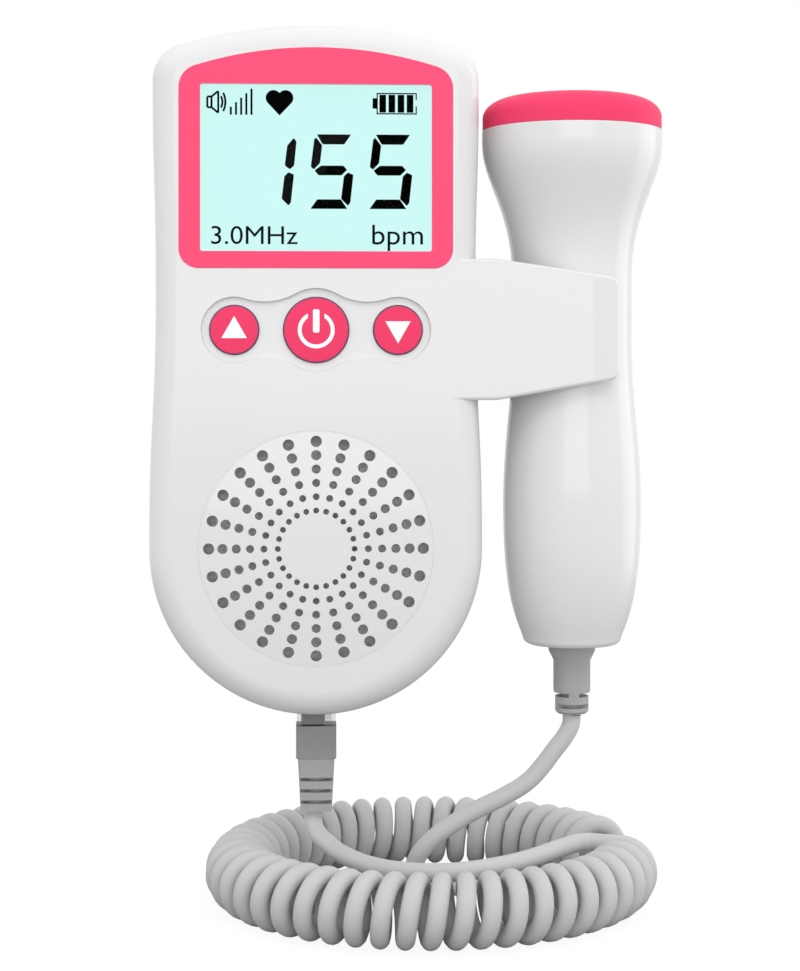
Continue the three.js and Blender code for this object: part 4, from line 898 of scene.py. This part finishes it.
# %% [markdown]
# ## Figures on the display
# The switched-on parts of a liquid crystal are flat dark shapes. Each shape is an outline
# pushed back by a hair. The large figures have seven segments, drawn once in a cell of
# their own, with pointed ends, and leaned to the right.

# %% Flat shapes
INK_DEPTH = 0.03
INK_Y = panel_low.y - INK_DEPTH


def ink(outline):
    return pushed(outline, INK_Y, INK_Y + INK_DEPTH)


def stroke(points, width):
    """A line of even width through the points."""
    left, right = [], []
    for i, point in enumerate(points):
        a = Vector(points[max(i - 1, 0)])
        b = Vector(points[min(i + 1, len(points) - 1)])
        along = (b - a).normalized()
        side = Vector((-along.y, along.x)) * width / 2
        left.append(tuple(Vector(point) + side))
        right.append(tuple(Vector(point) - side))
    return ink(left + right[::-1])


def bar(x0, x1, z0, z1):
    return ink([(x0, z0), (x1, z0), (x1, z1), (x0, z1)])


# %% Seven segments
DIGIT_LOW = 30.75
DIGIT_MIDDLE = 7.3
LEAN = 0.113
SEGMENT_CORNER = 0.14
SEGMENTS = {
    "a": [(0.42, 14.2), (6.95, 14.2), (5.85, 12.3), (1.73, 12.3)],
    "b": [(7.41, 13.5), (8.03, 12.85), (8.1, 8.2), (7.35, 7.5), (6.3, 8.25), (6.34, 12.0)],
    "c": [(6.47, 6.2), (7.16, 6.95), (8.25, 6.52), (8.28, 1.2), (7.88, 0.6), (6.42, 1.9)],
    "d": [(0.8, 0), (1.9, 1.81), (6.4, 1.81), (7.85, 0)],
    "f": [(0.02, 13.25), (0.36, 13.6), (1.68, 12.1), (1.65, 8.75), (0.63, 7.5), (-0.04, 8.0)],
    "g": [(0.74, 7.33), (1.91, 8.25), (6.15, 8.25), (6.94, 7.45), (6.0, 6.4), (1.6, 6.4)],
}


def segment(name, x):
    """One segment, with softened corners, of a leaning figure whose cell starts at x."""
    leaned = [(x + a + LEAN * (b - DIGIT_MIDDLE), DIGIT_LOW + b) for a, b in SEGMENTS[name]]
    bm = ink(leaned)
    return rounded(bm, across(bm), SEGMENT_CORNER, 2)


figures = [(-12.4, "bc"), (-1.08, "afgcd"), (10.17, "afgcd")]
figure_parts = [segment(name, x) for x, lit in figures for name in lit]

# %% Symbols
ICON_LOW = 48.8
ICON_HIGH = 53.2
ICON_MIDDLE = (ICON_LOW + ICON_HIGH) / 2
LINE = 0.4
BARS = 5
BAR_X = -16.43
BAR_PITCH = 0.98
BAR_LOW = ICON_LOW - 0.2
BAR_HIGH = ICON_LOW + 1.33
BAR_STEP = 0.86
HORN_Z = 51.02
HORN = [(-20.7, 1.02), (-19.9, 1.02), (-18.62, 2.07), (-18.62, -2.07), (-19.9, -1.02),
        (-20.7, -1.02), (-20.7, 1.02)]
WAVES = [(-20.24, 2.4, 0.476), (-21.12, 3.85, 0.472)]


def heart(x, z, lobe, apart, tip):
    """Two round lobes, and two straight sides that touch them and meet in the tip."""
    low_turn = atan2(-tip, -apart) + acos(lobe / hypot(tip, apart))
    notch_turn = acos(-apart / lobe)
    right = arc(apart, 0, lobe, lobe, low_turn, notch_turn, 24)
    outline = [(0, -tip)] + right + mirrored(right[:-1])
    return ink([(x + a, z + b) for a, b in outline])


icon_parts = [heart(-6.98, ICON_MIDDLE + 0.86, 1.48, 1.15, 3.36)]
for i in range(BARS):
    x = BAR_X + i * BAR_PITCH
    icon_parts.append(bar(x, x + LINE, BAR_LOW, BAR_HIGH + i * BAR_STEP))
horn = [(x, HORN_Z + z) for x, z in HORN]
icon_parts += [stroke(ends, LINE) for ends in [*zip(horn, horn[1:]), (horn[1], horn[4])]]
for x, radius, spread in WAVES:
    icon_parts.append(stroke(arc(x, HORN_Z, radius, radius, -spread, spread, 12), LINE))

# %% Battery symbol
FRAME = 0.24
FRAME_LEFT = 11.5
FRAME_RIGHT = 19.2
FRAME_LOW = ICON_LOW + 0.02
FRAME_HIGH = ICON_HIGH - 0.28
FRAME_GAP = 0.6
CHARGE_X = FRAME_LEFT + 0.55
CHARGE_PITCH = 1.74
CHARGE_WIDTH = 1.27
CHARGE_INSET = 0.35
battery_bars = [
    (FRAME_LEFT, FRAME_RIGHT, FRAME_LOW, FRAME_LOW + FRAME),
    (FRAME_LEFT, FRAME_RIGHT, FRAME_HIGH - FRAME, FRAME_HIGH),
    (FRAME_LEFT, FRAME_LEFT + FRAME, FRAME_LOW, FRAME_HIGH),
    (FRAME_RIGHT - FRAME, FRAME_RIGHT, FRAME_LOW, ICON_MIDDLE - FRAME_GAP),
    (FRAME_RIGHT - FRAME, FRAME_RIGHT, ICON_MIDDLE + FRAME_GAP, FRAME_HIGH),
    (FRAME_LEFT - 0.75, FRAME_LEFT, ICON_MIDDLE - 1.1, ICON_MIDDLE + 0.9),
]
icon_parts += [bar(*sides) for sides in battery_bars]
for i in range(4):
    x = CHARGE_X + i * CHARGE_PITCH
    icon_parts.append(bar(x, x + CHARGE_WIDTH, FRAME_LOW + CHARGE_INSET,
                          FRAME_HIGH - CHARGE_INSET))

# %% Words
LETTER_HEIGHT = 0.935


def words(text, x, z, width):
    """A line of slightly broad type as flat dark shapes, from x, as wide as asked."""
    curve = bpy.data.curves.new("words", "FONT")
    curve.body = text
    curve.resolution_u = 4
    mesh = mesh_of(new_object("words", curve))
    bm = bmesh.new()
    bm.from_mesh(mesh)
    bpy.data.meshes.remove(mesh)
    bmesh.ops.remove_doubles(bm, verts=bm.verts, dist=TINY / 10)
    left = min(v.co.x for v in bm.verts)
    size = width / (max(v.co.x for v in bm.verts) - left)
    upright = Matrix.Rotation(QUARTER_TURN, 4, "X")
    place = (Matrix.Translation((x, INK_Y, z))
             @ Matrix.Diagonal((size, size, size * LETTER_HEIGHT, 1)))
    bmesh.ops.transform(bm, matrix=place @ upright @ Matrix.Translation((-left, 0, 0)),
                        verts=bm.verts)
    bmesh.ops.recalc_face_normals(bm, faces=bm.faces)
    if sum(f.normal.y * f.calc_area() for f in bm.faces) > 0:
        bmesh.ops.reverse_faces(bm, faces=bm.faces)
    return bm


# %% Figures in two tones
# The grey tone is a painted reflection of the pane: it lifts the black of the words, and that
# of the large figures up to a slanting line.
PAINTED_REFLECTION_PLACE = Vector((6.1, 0, 44.17))
PAINTED_REFLECTION_NORMAL = Vector((1, 0, -0.709)).normalized()
WORDS_Z = 24.0
WORDS_TOP = 30


def in_painted_reflection(middle, _):
    return middle.z < WORDS_TOP or (middle - PAINTED_REFLECTION_PLACE).dot(PAINTED_REFLECTION_NORMAL) < 0


figure_bm = merged(*figure_parts, words("3.0MHz", -19.96, WORDS_Z, 16.4),
                   words("bpm", 10.68, WORDS_Z, 9.7))
split_by_plane(figure_bm, PAINTED_REFLECTION_PLACE, PAINTED_REFLECTION_NORMAL)
piece(merged(marked(figure_bm, in_painted_reflection), *icon_parts), "display_figures",
      [dark_segment, segment_painted_reflection], flat=False)

# %% [markdown]
# ## The keys
# Each key is a turned cap with a softly rounded rim, a flange that keeps it behind the
# cover and a foot on the switch. Its rim is painted darker than its face, as painted shade
# for the gap round it. The white sign is printed on it: a triangle up, a triangle down, and
# the usual sign for power.

# %% Key caps
CAP_EDGE = 0.34
FLANGE = 1
FLANGE_THICKNESS = 0.8
FOOT_RADIUS = 2.2
SIGN_DEPTH = 0.04
SIGN_RING = (3.49, 2.75)
SIGN_GAP = 1.56
SIGN_BAR = 0.62
TRIANGLES = {"up": (2.63, -1.56, 2.41), "down": (-2.55, 1.65, 2.39)}


def make_cap(x, radius, low, high):
    """The cap's outer profile turned about its middle, flange and foot included."""
    front = FRONT_Y + FRONT_WALL + FIT
    back = front + FLANGE_THICKNESS
    rim = arc(radius - CAP_EDGE, low + CAP_EDGE, CAP_EDGE, CAP_EDGE, -QUARTER_TURN, 0, 8)
    profile = [(0, low), *rim, (radius, front), (radius + FLANGE, front),
               (radius + FLANGE, back), (FOOT_RADIUS, back), (FOOT_RADIUS, high), (0, high)]
    # The rim, the sides and the flange take the second finish, the painted shade of the gap.
    return marked(turned(profile, (x, KEY_Z), "y"),
                  lambda middle, normal: normal.y >= -0.9 or middle.y >= low + 0.1)


def power_sign(y0, y1):
    """A ring open at the top, and an upright bar in the opening."""
    outer, inner = SIGN_RING
    ring = cut(rod_y(0, KEY_Z, outer, y0, y1, 96), rod_y(0, KEY_Z, inner, y0 - 1, y1 + 1, 96),
               wide_block(SIGN_GAP, y0 - 1, y1 + 1, KEY_Z, KEY_Z + 5))
    upright = wide_block(SIGN_BAR, y0, y1, KEY_Z - 0.5, KEY_Z + 3.9)
    rounded(upright, across(upright), 0.3, 4)
    return merged(ring, upright)


def key_sign(name, x, y0, y1):
    if name == "power":
        return power_sign(y0, y1)
    tip, base, half = TRIANGLES[name]
    outline = [(x - half, KEY_Z + base), (x + half, KEY_Z + base), (x, KEY_Z + tip)]
    return pushed(outline, y0, y1)


for name, (x, radius) in keys.items():
    low, high = box_mm(f"button_{name}")
    body = f"{name}_key"
    piece(make_cap(x, radius, low.y, high.y), f"key_{name}", [pink_abs, key_rim_painted_shade],
          f"button_{name}", body, flat=False)
    piece(key_sign(name, x, low.y - SIGN_DEPTH, low.y), f"key_sign_{name}",
          [white_ink], None, body, flat=False)

# %% [markdown]
# ## The loudspeaker grille
# Holes on 24 spokes grow from the inner ring to the outer one. The grille is a very
# shallow dome, so it takes the light differently from the flat face round it. The dome is
# turned, and all the holes are cut at once.

# %% Grille
SPOKES = 24
RINGS = 6
INNER_RING = 7.25
OUTER_RING = 20.3
INNER_HOLE = 0.56
OUTER_HOLE = 1.08
DOME_RISE = 0.75
DOME_STEPS = 10


def dome_y(radius):
    """Where the dome's face lies at this distance from its middle."""
    return FRONT_Y + GRILLE_RIM - DOME_RISE * (1 - (radius / GRILLE_RADIUS) ** 2)


def make_grille():
    radii = [GRILLE_RADIUS * i / DOME_STEPS for i in range(DOME_STEPS + 1)]
    front = [(r, dome_y(r)) for r in radii]
    back = [(r, dome_y(r) + GRILLE_THICKNESS) for r in reversed(radii)]
    holes = []
    for ring in range(RINGS):
        share = ring / (RINGS - 1)
        reach = INNER_RING + (OUTER_RING - INNER_RING) * share
        radius = INNER_HOLE + (OUTER_HOLE - INNER_HOLE) * share
        for spoke in range(SPOKES):
            angle = spoke / SPOKES * FULL_TURN
            holes.append(rod_y(reach * cos(angle), GRILLE_Z + reach * sin(angle), radius,
                               FRONT_Y - OVERRUN, FRONT_Y + 2 * OVERRUN, 20))
    return cut(turned(front + back, (0, GRILLE_Z), "y", GRILLE_STEPS), merged(*holes))


piece(make_grille(), "loudspeaker_grille", [white_abs], "speaker_grille",
      flat=False)

# %% Cloth
CLOTH_RADIUS = 22
cloth_low, cloth_high = box_mm("dust_cloth")
cloth = rod_y(0, GRILLE_Z, CLOTH_RADIUS, cloth_low.y, cloth_high.y, 96)
rounded(cloth, sharp_edges(cloth), 0.1, 2)
piece(cloth, "dust_mesh", [dust_mesh], "dust_cloth")

# %% [markdown]
# ## The rear cover, its door and what lies behind it
# The rear cover carries the battery bay. It is built like the front one, with the bay as a
# box inside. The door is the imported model's own shape, copied, cleaned of its triangles and
# given softly broken edges.

# %% Clean copies of CAD nodes
def copy_of(node):
    """A CAD node's mesh as a clean bmesh in millimetres."""
    bm = bmesh.new()
    bm.from_mesh(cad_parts[node].data)
    bmesh.ops.scale(bm, vec=(1 / MM, 1 / MM, 1 / MM), verts=bm.verts)
    bmesh.ops.remove_doubles(bm, verts=bm.verts, dist=TINY)
    bmesh.ops.dissolve_limit(bm, angle_limit=radians(1), verts=bm.verts, edges=bm.edges)
    return bm


def softened(node, name, look, radius, angle=40, body="root"):
    bm = copy_of(node)
    piece(rounded(bm, sharp_edges(bm, angle), radius, 2), name, [look], node, body)


softened("battery_door", "battery_lid", white_abs, 0.2, body="battery_door")

# %% Rear cover
BAY_LOW = -46
BAY_TOP = 11.95
BAY_HALF = 14.75
BAY_FLOOR_Y = -16.7
BAY_WALL = 2.2
BAY_FLOOR = 1.2
DOOR_THICKNESS = 2
HINGE_Z = -47.05
SLOT_X = 9
SLOT_HALF = 2.8
SLOT_Y = -5.6
POST_RADIUS = 3.4
SCREW_SINK = 5
HEAD_RADIUS = 2.3
HEAD_HEIGHT = 1.6
door_high = box_mm("battery_door")[1]
screws = {}
for i in range(1, 5):
    low, high = box_mm(f"case_screw_{i}")
    screws[i] = ((low.x + high.x) / 2, (low.z + high.z) / 2)


def make_rear_cover():
    shell = half_case(0, PARTING_Y + SEAM / 2, REAR_Y, 10)
    hollow = half_case(WALL, PARTING_Y - OVERRUN, REAR_Y - WALL, 3)
    outside = REAR_Y + OVERRUN
    in_wall = REAR_Y - WALL / 2
    bay = wide_block(BAY_HALF + BAY_WALL, BAY_FLOOR_Y - BAY_FLOOR, in_wall, BAY_LOW - BAY_WALL,
                     BAY_TOP + BAY_WALL)
    posts = [rod_y(x, z, POST_RADIUS, PARTING_Y + SEAM / 2, in_wall, 48)
             for x, z in screws.values()]
    tools = [
        wide_block(BAY_HALF, BAY_FLOOR_Y, outside, BAY_LOW, BAY_TOP),
        wide_block(door_high.x + FIT, REAR_Y - DOOR_THICKNESS - FIT, outside, HINGE_Z - FIT / 2,
                   door_high.z + FIT),
        make_holder(),
        *socket_holes(),
        *(block(x - SLOT_HALF, x + SLOT_HALF, SLOT_Y, REAR_Y - WALL,
                BAY_LOW - BAY_WALL - OVERRUN, BAY_LOW + OVERRUN) for x in (-SLOT_X, SLOT_X)),
        *(rod_y(x, z, HEAD_RADIUS + FIT, -SCREW_SINK - HEAD_HEIGHT, outside, 48)
          for x, z in screws.values()),
    ]
    body = cut(joined(shell, holder_land(REAR_Y, REAR_Y - HOOK)), hollow)
    return cut(joined(body, bay, *posts), *tools)


piece(make_rear_cover(), "rear_housing", [white_abs], "rear_cover")

# %% [markdown]
# Four screws hold the covers together. Their heads lie deep in the rear cover and have a
# cross recess. Two cells lie in the bay, one on its head.

# %% Screws
SCREW_LENGTH = 14
SHANK_RADIUS = 1.1
HEAD_CROWN = 0.55
CROSS = (1.3, 0.28)
CROSS_DEPTH = 0.9


def make_screw(x, z):
    head = -SCREW_SINK
    tip = head - SCREW_LENGTH
    seat = head - HEAD_HEIGHT + FIT
    top = arc(0, head - HEAD_CROWN, HEAD_RADIUS, HEAD_CROWN, 0, QUARTER_TURN, 6)
    profile = [(0, tip), (SHANK_RADIUS, tip), (SHANK_RADIUS, seat), (HEAD_RADIUS, seat), *top]
    cross = [block(x - a, x + a, head - CROSS_DEPTH, head + 1, z - b, z + b)
             for a, b in (CROSS, CROSS[::-1])]
    return cut(turned(profile, (x, z), "y", 48), *cross)


for i, (x, z) in screws.items():
    piece(make_screw(x, z), f"cross_screw_{i}", [nickel], f"case_screw_{i}")

# %% Battery cells
CELL_RADIUS = 7.05
CELL_EDGE = 0.5
NUB = 1.2
NUB_RADIUS = 2.75


def make_cell(x, y, base, top):
    """A cell from its flat end to its nub, either way up, with its ends bare metal."""
    up = 1 if top > base else -1
    shoulder = top - up * NUB
    side = CELL_RADIUS - CELL_EDGE
    profile = [(0, base), (side, base), (CELL_RADIUS, base + up * CELL_EDGE),
               (CELL_RADIUS, shoulder - up * CELL_EDGE), (side, shoulder),
               (NUB_RADIUS, shoulder), (NUB_RADIUS, top - up * 0.2), (2.5, top), (0, top)]
    return marked(turned(profile, (x, y), "z", 64), lambda middle, _:
                  abs(middle.z - base) < CELL_EDGE or abs(middle.z - top) < NUB)


for name in ("left", "right"):
    low, high = box_mm(f"battery_{name}")
    ends = (high.z, low.z) if name == "left" else (low.z, high.z)
    cell = make_cell((low.x + high.x) / 2, (low.y + high.y) / 2, *ends)
    piece(cell, f"cell_{name}", [cell_sleeve, nickel], f"battery_{name}")

# %% [markdown]
# ## The probe
# It is a turned shape: a flat pink face with a soft edge, a flared head, a slim handle
# where the holder grips, and a belly for the palm. It is moulded as a front and a rear
# half. The whole shell is turned once for each half and cut along the seam.

# %% Probe profile
PROBE_HEAD = 17.8
HANDLE_RADIUS = 11.8
BELLY_RADIUS = 13.6
TAIL_RADIUS = 9.8
TAIL_EDGE = 1.6
TAIL_Z = -54
CORD_HOLE = 3.2
CAP_SEAM = 47.4
PROBE_WALL = 2
PROBE_STEPS = 128
LIP = 0.3


def probe_profile(inset, steps):
    """The probe's right side from the tail to the seam under the cap."""
    tail, belly = TAIL_RADIUS - inset, BELLY_RADIUS - inset
    handle, head = HANDLE_RADIUS - inset, PROBE_HEAD - inset
    low = TAIL_Z + inset
    foot = arc(tail - TAIL_EDGE, low + TAIL_EDGE, TAIL_EDGE, TAIL_EDGE, -QUARTER_TURN, 0, 6)
    rise = bezier((tail, low + TAIL_EDGE), (tail + 2.72, low + 8), (belly, -39.5),
                  (belly, -26.5), steps)
    waist = bezier((belly, -26.5), (belly, -13.5), (handle, -7), (handle, 6), steps)
    flare = bezier((handle, 18), (handle, 32), (head, 37), (head, 45), steps)
    lip = arc(head - LIP, CAP_SEAM - LIP, LIP, LIP, 0, QUARTER_TURN, 5)
    return foot + rise[1:] + waist[1:] + flare + lip


# %% Probe's shell
def make_probe_half(side):
    """The whole shell turned, and cut along the seam. Side is -1 in front and 1 behind."""
    start = (CORD_HOLE, TAIL_Z)
    profile = [start, *probe_profile(0, 24), *reversed(probe_profile(PROBE_WALL, 10)),
               (CORD_HOLE, TAIL_Z + PROBE_WALL), start]
    bm = turned(profile, (PROBE_X, PARTING_Y), "z", PROBE_STEPS)
    split_by_plane(bm, (0, PARTING_Y + side * SEAM / 2, 0), (0, -side, 0), clear=True)
    bmesh.ops.holes_fill(bm, edges=[e for e in bm.edges if len(e.link_faces) == 1], sides=0)
    bmesh.ops.recalc_face_normals(bm, faces=bm.faces)
    return bm


for side, name in ((-1, "front"), (1, "rear")):
    piece(make_probe_half(side), f"probe_{name}_half", [white_abs],
          f"probe_{name}_shell", "probe")

# %% Probe's face
CAP_TOP = 53.8
CAP_INSET = 0.12
CAP_CORNER = (6.2, 3.9)


def make_probe_cap():
    outer = PROBE_HEAD - CAP_INSET
    skirt = PROBE_HEAD - PROBE_WALL - FIT
    low = CAP_SEAM - PROBE_WALL
    wide, high = CAP_CORNER
    rim = arc(outer - wide, CAP_TOP - high, wide, high, 0, QUARTER_TURN, 16)
    profile = [(0, CAP_TOP - 2), (skirt - 1, CAP_TOP - 2), (skirt - 1, low), (skirt, low),
               (skirt, CAP_SEAM + TIGHT), (outer, CAP_SEAM + TIGHT), *rim, (0, CAP_TOP)]
    return turned(profile, (PROBE_X, PARTING_Y), "z", PROBE_STEPS)


piece(make_probe_cap(), "probe_face", [pink_abs], "probe_cap", "probe", flat=False)

# %% [markdown]
# ## Strain reliefs and the plug
# Where a cord leaves the probe it runs through a soft sleeve that is cut half through
# from alternate sides, so that it bends instead of kinking. The unit's end has a clear
# four-way plug with a spring latch, and a soft boot of the same kind.

# %% Probe's strain relief
BOOT_BORE = 1.5
BOOT_CORE = 1.9
BOOT_LOW_RADIUS = 3.3
BOOT_EDGE = 0.5


def make_probe_boot():
    low, high = box_mm("probe_boot")
    profile = [(BOOT_BORE, low.z), (BOOT_LOW_RADIUS - BOOT_EDGE, low.z),
               (BOOT_LOW_RADIUS, low.z + BOOT_EDGE), (BOOT_LOW_RADIUS, -66.6),
               (BOOT_LOW_RADIUS, -64.4), (3.65, -63.2), (3.65, -57.3), (4.6, -55.4),
               (4.6, -54.3), (2.9, -54.3), (2.9, -51.7), (4.4, -51.7), (4.4, high.z),
               (BOOT_BORE, high.z), (BOOT_BORE, low.z)]
    slots = []
    for z0, z1, long, wide in ((-64.4, -63.6, 1, 7), (-66.6, -65.8, 7, 1)):
        ring = pushed(circle(PROBE_X, PARTING_Y, 6, 48), z0, z1, True)
        web = block(PROBE_X - long, PROBE_X + long, PARTING_Y - wide, PARTING_Y + wide,
                    z0 - 1, z1 + 1)
        core = pushed(circle(PROBE_X, PARTING_Y, BOOT_CORE, 32), z0 - 1, z1 + 1, True)
        slots.append(cut(ring, web, core))
    return cut(turned(profile, (PROBE_X, PARTING_Y), "z", 64), *slots)


probe_boot = piece(make_probe_boot(), "probe_strain_relief", [boot_pvc],
                   "probe_boot", "probe")

# %% Plug
PLUG_HALF = 3.825
PLUG_FRONT = PARTING_Y - 3.25
PLUG_REAR = PARTING_Y + 3.25
PLUG_WALL = 0.8
LATCH_HALF = 1.5
COLLAR_RISE = 0.6
plug_low, plug_high = box_mm("cord_plug")


def make_plug():
    body = wide_block(PLUG_HALF, PLUG_FRONT, PLUG_REAR, plug_low.z + COLLAR_RISE, plug_high.z)
    rounded(body, sharp_edges(body), 0.3, 2)
    inner = wide_block(PLUG_HALF - PLUG_WALL, PLUG_FRONT + PLUG_WALL, PLUG_REAR - PLUG_WALL,
                       plug_low.z - 1, plug_high.z - 5)
    latch = pushed([(PLUG_REAR - 1, plug_high.z - 1), (PLUG_REAR, plug_high.z - 1),
                    (PLUG_REAR + 1.6, plug_low.z + 1), (PLUG_REAR + 0.6, plug_low.z + 1)],
                   -LATCH_HALF, LATCH_HALF)
    swap_x_and_y = Matrix(((0, 1, 0, 0), (1, 0, 0, 0), (0, 0, 1, 0), (0, 0, 0, 1)))
    bmesh.ops.transform(latch, matrix=swap_x_and_y, verts=latch.verts)
    bmesh.ops.recalc_face_normals(latch, faces=latch.faces)
    return joined(cut(body, inner), latch)


plug_piece = piece(make_plug(), "modular_plug", [clear_pc], "cord_plug",
                   "plug")

# %% Plug's boot
BOOT_HALF = 3.95
BOOT_CORNER = 0.9
COLLAR_HEIGHT = 5.9
SLOT_PITCH = 2.2
SLOT_WIDTH = 0.7


def make_plug_boot():
    low, high = box_mm("plug_boot")
    step_z = high.z - COLLAR_HEIGHT
    top = high.z + COLLAR_RISE
    outline = round_box(BOOT_HALF, PLUG_FRONT, PLUG_REAR, BOOT_CORNER, 5)
    head = pushed(outline, step_z, top, True)
    rounded(head, edges_at(head, step_z, "z"), 0.25, 2)
    sleeve = pushed([(3.05, low.z), (3.63, step_z + 1), (-3.63, step_z + 1), (-3.05, low.z)],
                    PLUG_FRONT, PLUG_REAR)
    narrow = round_box(BOOT_HALF - 0.3, PLUG_FRONT + 0.15, PLUG_REAR - 0.15, BOOT_CORNER, 5)
    sleeve = combined(sleeve, pushed(narrow, low.z - 1, step_z + 2, True), "INTERSECT")
    slots = []
    for i in range(3):
        z0 = low.z + 1.5 + SLOT_PITCH * i
        z1 = z0 + SLOT_WIDTH
        core = pushed(circle(0, PARTING_Y, BOOT_CORE, 32), z0 - 1, z1 + 1, True)
        slots.append(cut(wide_block(6, PLUG_FRONT - 1, PLUG_REAR + 1, z0, z1), core))
    # The collar above the step takes the darker grey, the painted shade.
    boot = marked(cut(joined(head, sleeve), *slots), lambda middle, _: middle.z > step_z - TINY)
    # The cord's flat end in the plug, in its dark grey painted shade.
    cord_end = block(-2.9, 1.7, PLUG_FRONT + 0.9, PLUG_REAR - 0.9, top, high.z + 4)
    rounded(cord_end, sharp_edges(cord_end), 0.4, 2)
    for face in cord_end.faces:
        face.material_index = 2
    return merged(boot, cord_end)


boot_piece = piece(make_plug_boot(), "plug_strain_relief",
                   [boot_pvc, collar_pvc_painted_shade, cord_end_painted_shade], "plug_boot", "plug")

# %% [markdown]
# ## The cord
# The curls and the two leads are one cord.

# %% [markdown]
# ## Finishes for the rest of the frame
# The inner pieces keep their imported shape, which is right as it is, and get the finish of
# what they are made of.

# %% Inner pieces
inner_looks = {
    guide_acrylic: ["lcd_backlight"],
    board_mask: ["main_board", "probe_board"],
    black_nylon: ["switch_up", "switch_power", "switch_down", "switch_stem_up",
                  "switch_stem_power", "switch_stem_down"],
    nickel: ["speaker_frame", "battery_bridge_contact", "battery_contact_left",
             "battery_contact_right"],
    paper_pulp: ["speaker_cone"],
    ferrite: ["speaker_magnet"],
    matt_abs: ["transducer_carrier"],
    piezo_ceramic: ["piezo_transmit", "piezo_receive"],
    damping_foam: ["piezo_backing"],
}
for look, names in inner_looks.items():
    for name in names:
        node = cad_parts[name]
        node.data.materials.clear()
        node.data.materials.append(look)
softened("phone_jack", "plug_socket", matt_abs, 0.12)
softened("headphone_jack", "earphone_socket", black_nylon, 0.1, angle=50)

# %% [markdown]
# ## Stage and light
# The photograph was lit like a shop picture, in a white tent: light comes evenly from all
# round and less from below. A brighter card in front of the face ends just under the eye,
# and draws the faint line across the glossy housing. A bright strip behind on the right
# edges the probe, and one soft lamp above and in front puts the small shadows in the dip
# of the keys. The camera itself sees a plain white room. The floor is white paper that
# fades out with distance, so that no horizon shows. It gives back less light than it
# shows, as a small sheet of paper in a large room would, and a glow of its own keeps the
# shadows on it faint, as in the photograph.

# %% Floor
FLOOR_RADIUS = 900
FLOOR_GAP = 0.02
FLOOR_GLOW = 0.92
FADE_START = 160
FADE_END = 520


def seen_by_camera(tree):
    """One for what the camera sees itself, and zero for light that goes on."""
    return add_node(tree, "ShaderNodeLightPath").outputs["Is Camera Ray"]


def ramp(tree, source, low, high, at_low, at_high):
    """A smooth change from one value to another between two values of the source."""
    return add_node(tree, "ShaderNodeMapRange", {"interpolation_type": "SMOOTHSTEP"},
                    {"Value": source, "From Min": low, "From Max": high,
                     "To Min": at_low, "To Max": at_high}).outputs["Result"]


floor_bm = bmesh.new()
bmesh.ops.create_circle(floor_bm, cap_ends=True, segments=96, radius=FLOOR_RADIUS,
                        matrix=Matrix.Translation((0, 0, FLOOR_Z - FLOOR_GAP)))
floor = new_object("floor", to_mesh(floor_bm, "floor"))
floor_paper = moulded("white_paper_floor", "#FBFBFB", "#F9F9F9", 0.9, 2, 0.005, 200)
tree = floor_paper.node_tree
shader = tree.nodes["Principled BSDF"]
shader.inputs["Specular IOR Level"].default_value = 0.0
tone = mix_colour(tree, seen_by_camera(tree), linear("#A8A8A8"), linear("#585858"))
tree.links.new(tone, shader.inputs["Base Color"])
shader.inputs["Emission Color"].default_value = linear("#FFFFFF")
glow = math_node(tree, "MULTIPLY", seen_by_camera(tree), FLOOR_GLOW)
tree.links.new(glow, shader.inputs["Emission Strength"])
place = add_node(tree, "ShaderNodeTexCoord").outputs["Object"]
reach = add_node(tree, "ShaderNodeVectorMath", {"operation": "LENGTH"}, {0: place})
fade = ramp(tree, reach.outputs["Value"], FADE_START * MM, FADE_END * MM, 1.0, 0.0)
tree.links.new(fade, shader.inputs["Alpha"])
floor.data.materials.append(floor_paper)
print("the floor is", 2 * FLOOR_RADIUS, "mm across")

# %% World
ROOM = 0.94
ROOM_LOW = 0.4
CARD_SLOPE = -0.0225
CARD_EDGE = 0.003
CARD_LIGHT = 1.4
STRIP_LIGHT = 1.2
world = bpy.data.worlds.new("studio")
scene.world = world
world.use_nodes = True
tree = world.node_tree
studio = tree.nodes["Background"]
direction = add_node(tree, "ShaderNodeTexCoord").outputs["Generated"]
x, y, z = add_node(tree, "ShaderNodeSeparateXYZ", None, {"Vector": direction}).outputs
above = ramp(tree, z, 0.3, 0.95, ROOM, 1.0)
below = ramp(tree, z, -0.7, -0.05, ROOM_LOW, 1.0)
room = math_node(tree, "MULTIPLY", above, below)
card_height = ramp(tree, z, CARD_SLOPE - CARD_EDGE, CARD_SLOPE + CARD_EDGE, 0.0, 1.0)
card_front = ramp(tree, y, -0.95, -0.9, CARD_LIGHT, 0.0)
card = math_node(tree, "MULTIPLY", card_height, card_front)
strip_right = ramp(tree, x, 0.76, 0.88, 0.0, 1.0)
strip_back = ramp(tree, y, -0.12, 0.08, 0.0, STRIP_LIGHT)
strip = math_node(tree, "MULTIPLY", math_node(tree, "MULTIPLY", strip_right, strip_back), below)
level = math_node(tree, "ADD", math_node(tree, "ADD", room, card), strip)
seen = seen_by_camera(tree)
unseen = math_node(tree, "SUBTRACT", 1.0, seen)
shown = math_node(tree, "ADD", math_node(tree, "MULTIPLY", level, unseen), seen)
studio.inputs["Color"].default_value = (1, 1, 1, 1)
tree.links.new(shown, studio.inputs["Strength"])
print("the studio's light has", len(tree.nodes), "nodes")

# %% Lamps
def lamp(name, place, target, width, height, power):
    """A soft rectangular light, itself not mirrored, in millimetres and watts."""
    data = bpy.data.lights.new(name, "AREA")
    data.shape = "RECTANGLE"
    data.size = width * MM
    data.size_y = height * MM
    data.energy = power
    made = new_object(name, data)
    made.location = Vector(place) * MM
    aim = (Vector(target) - Vector(place)).to_track_quat("-Z", "Y")
    made.rotation_euler = aim.to_euler()
    made.visible_glossy = False
    return made


lamp("top_light", (120, -450, 420), (10, -20, 0), 300, 200, 0.7)
scene.view_settings.view_transform = "Standard"
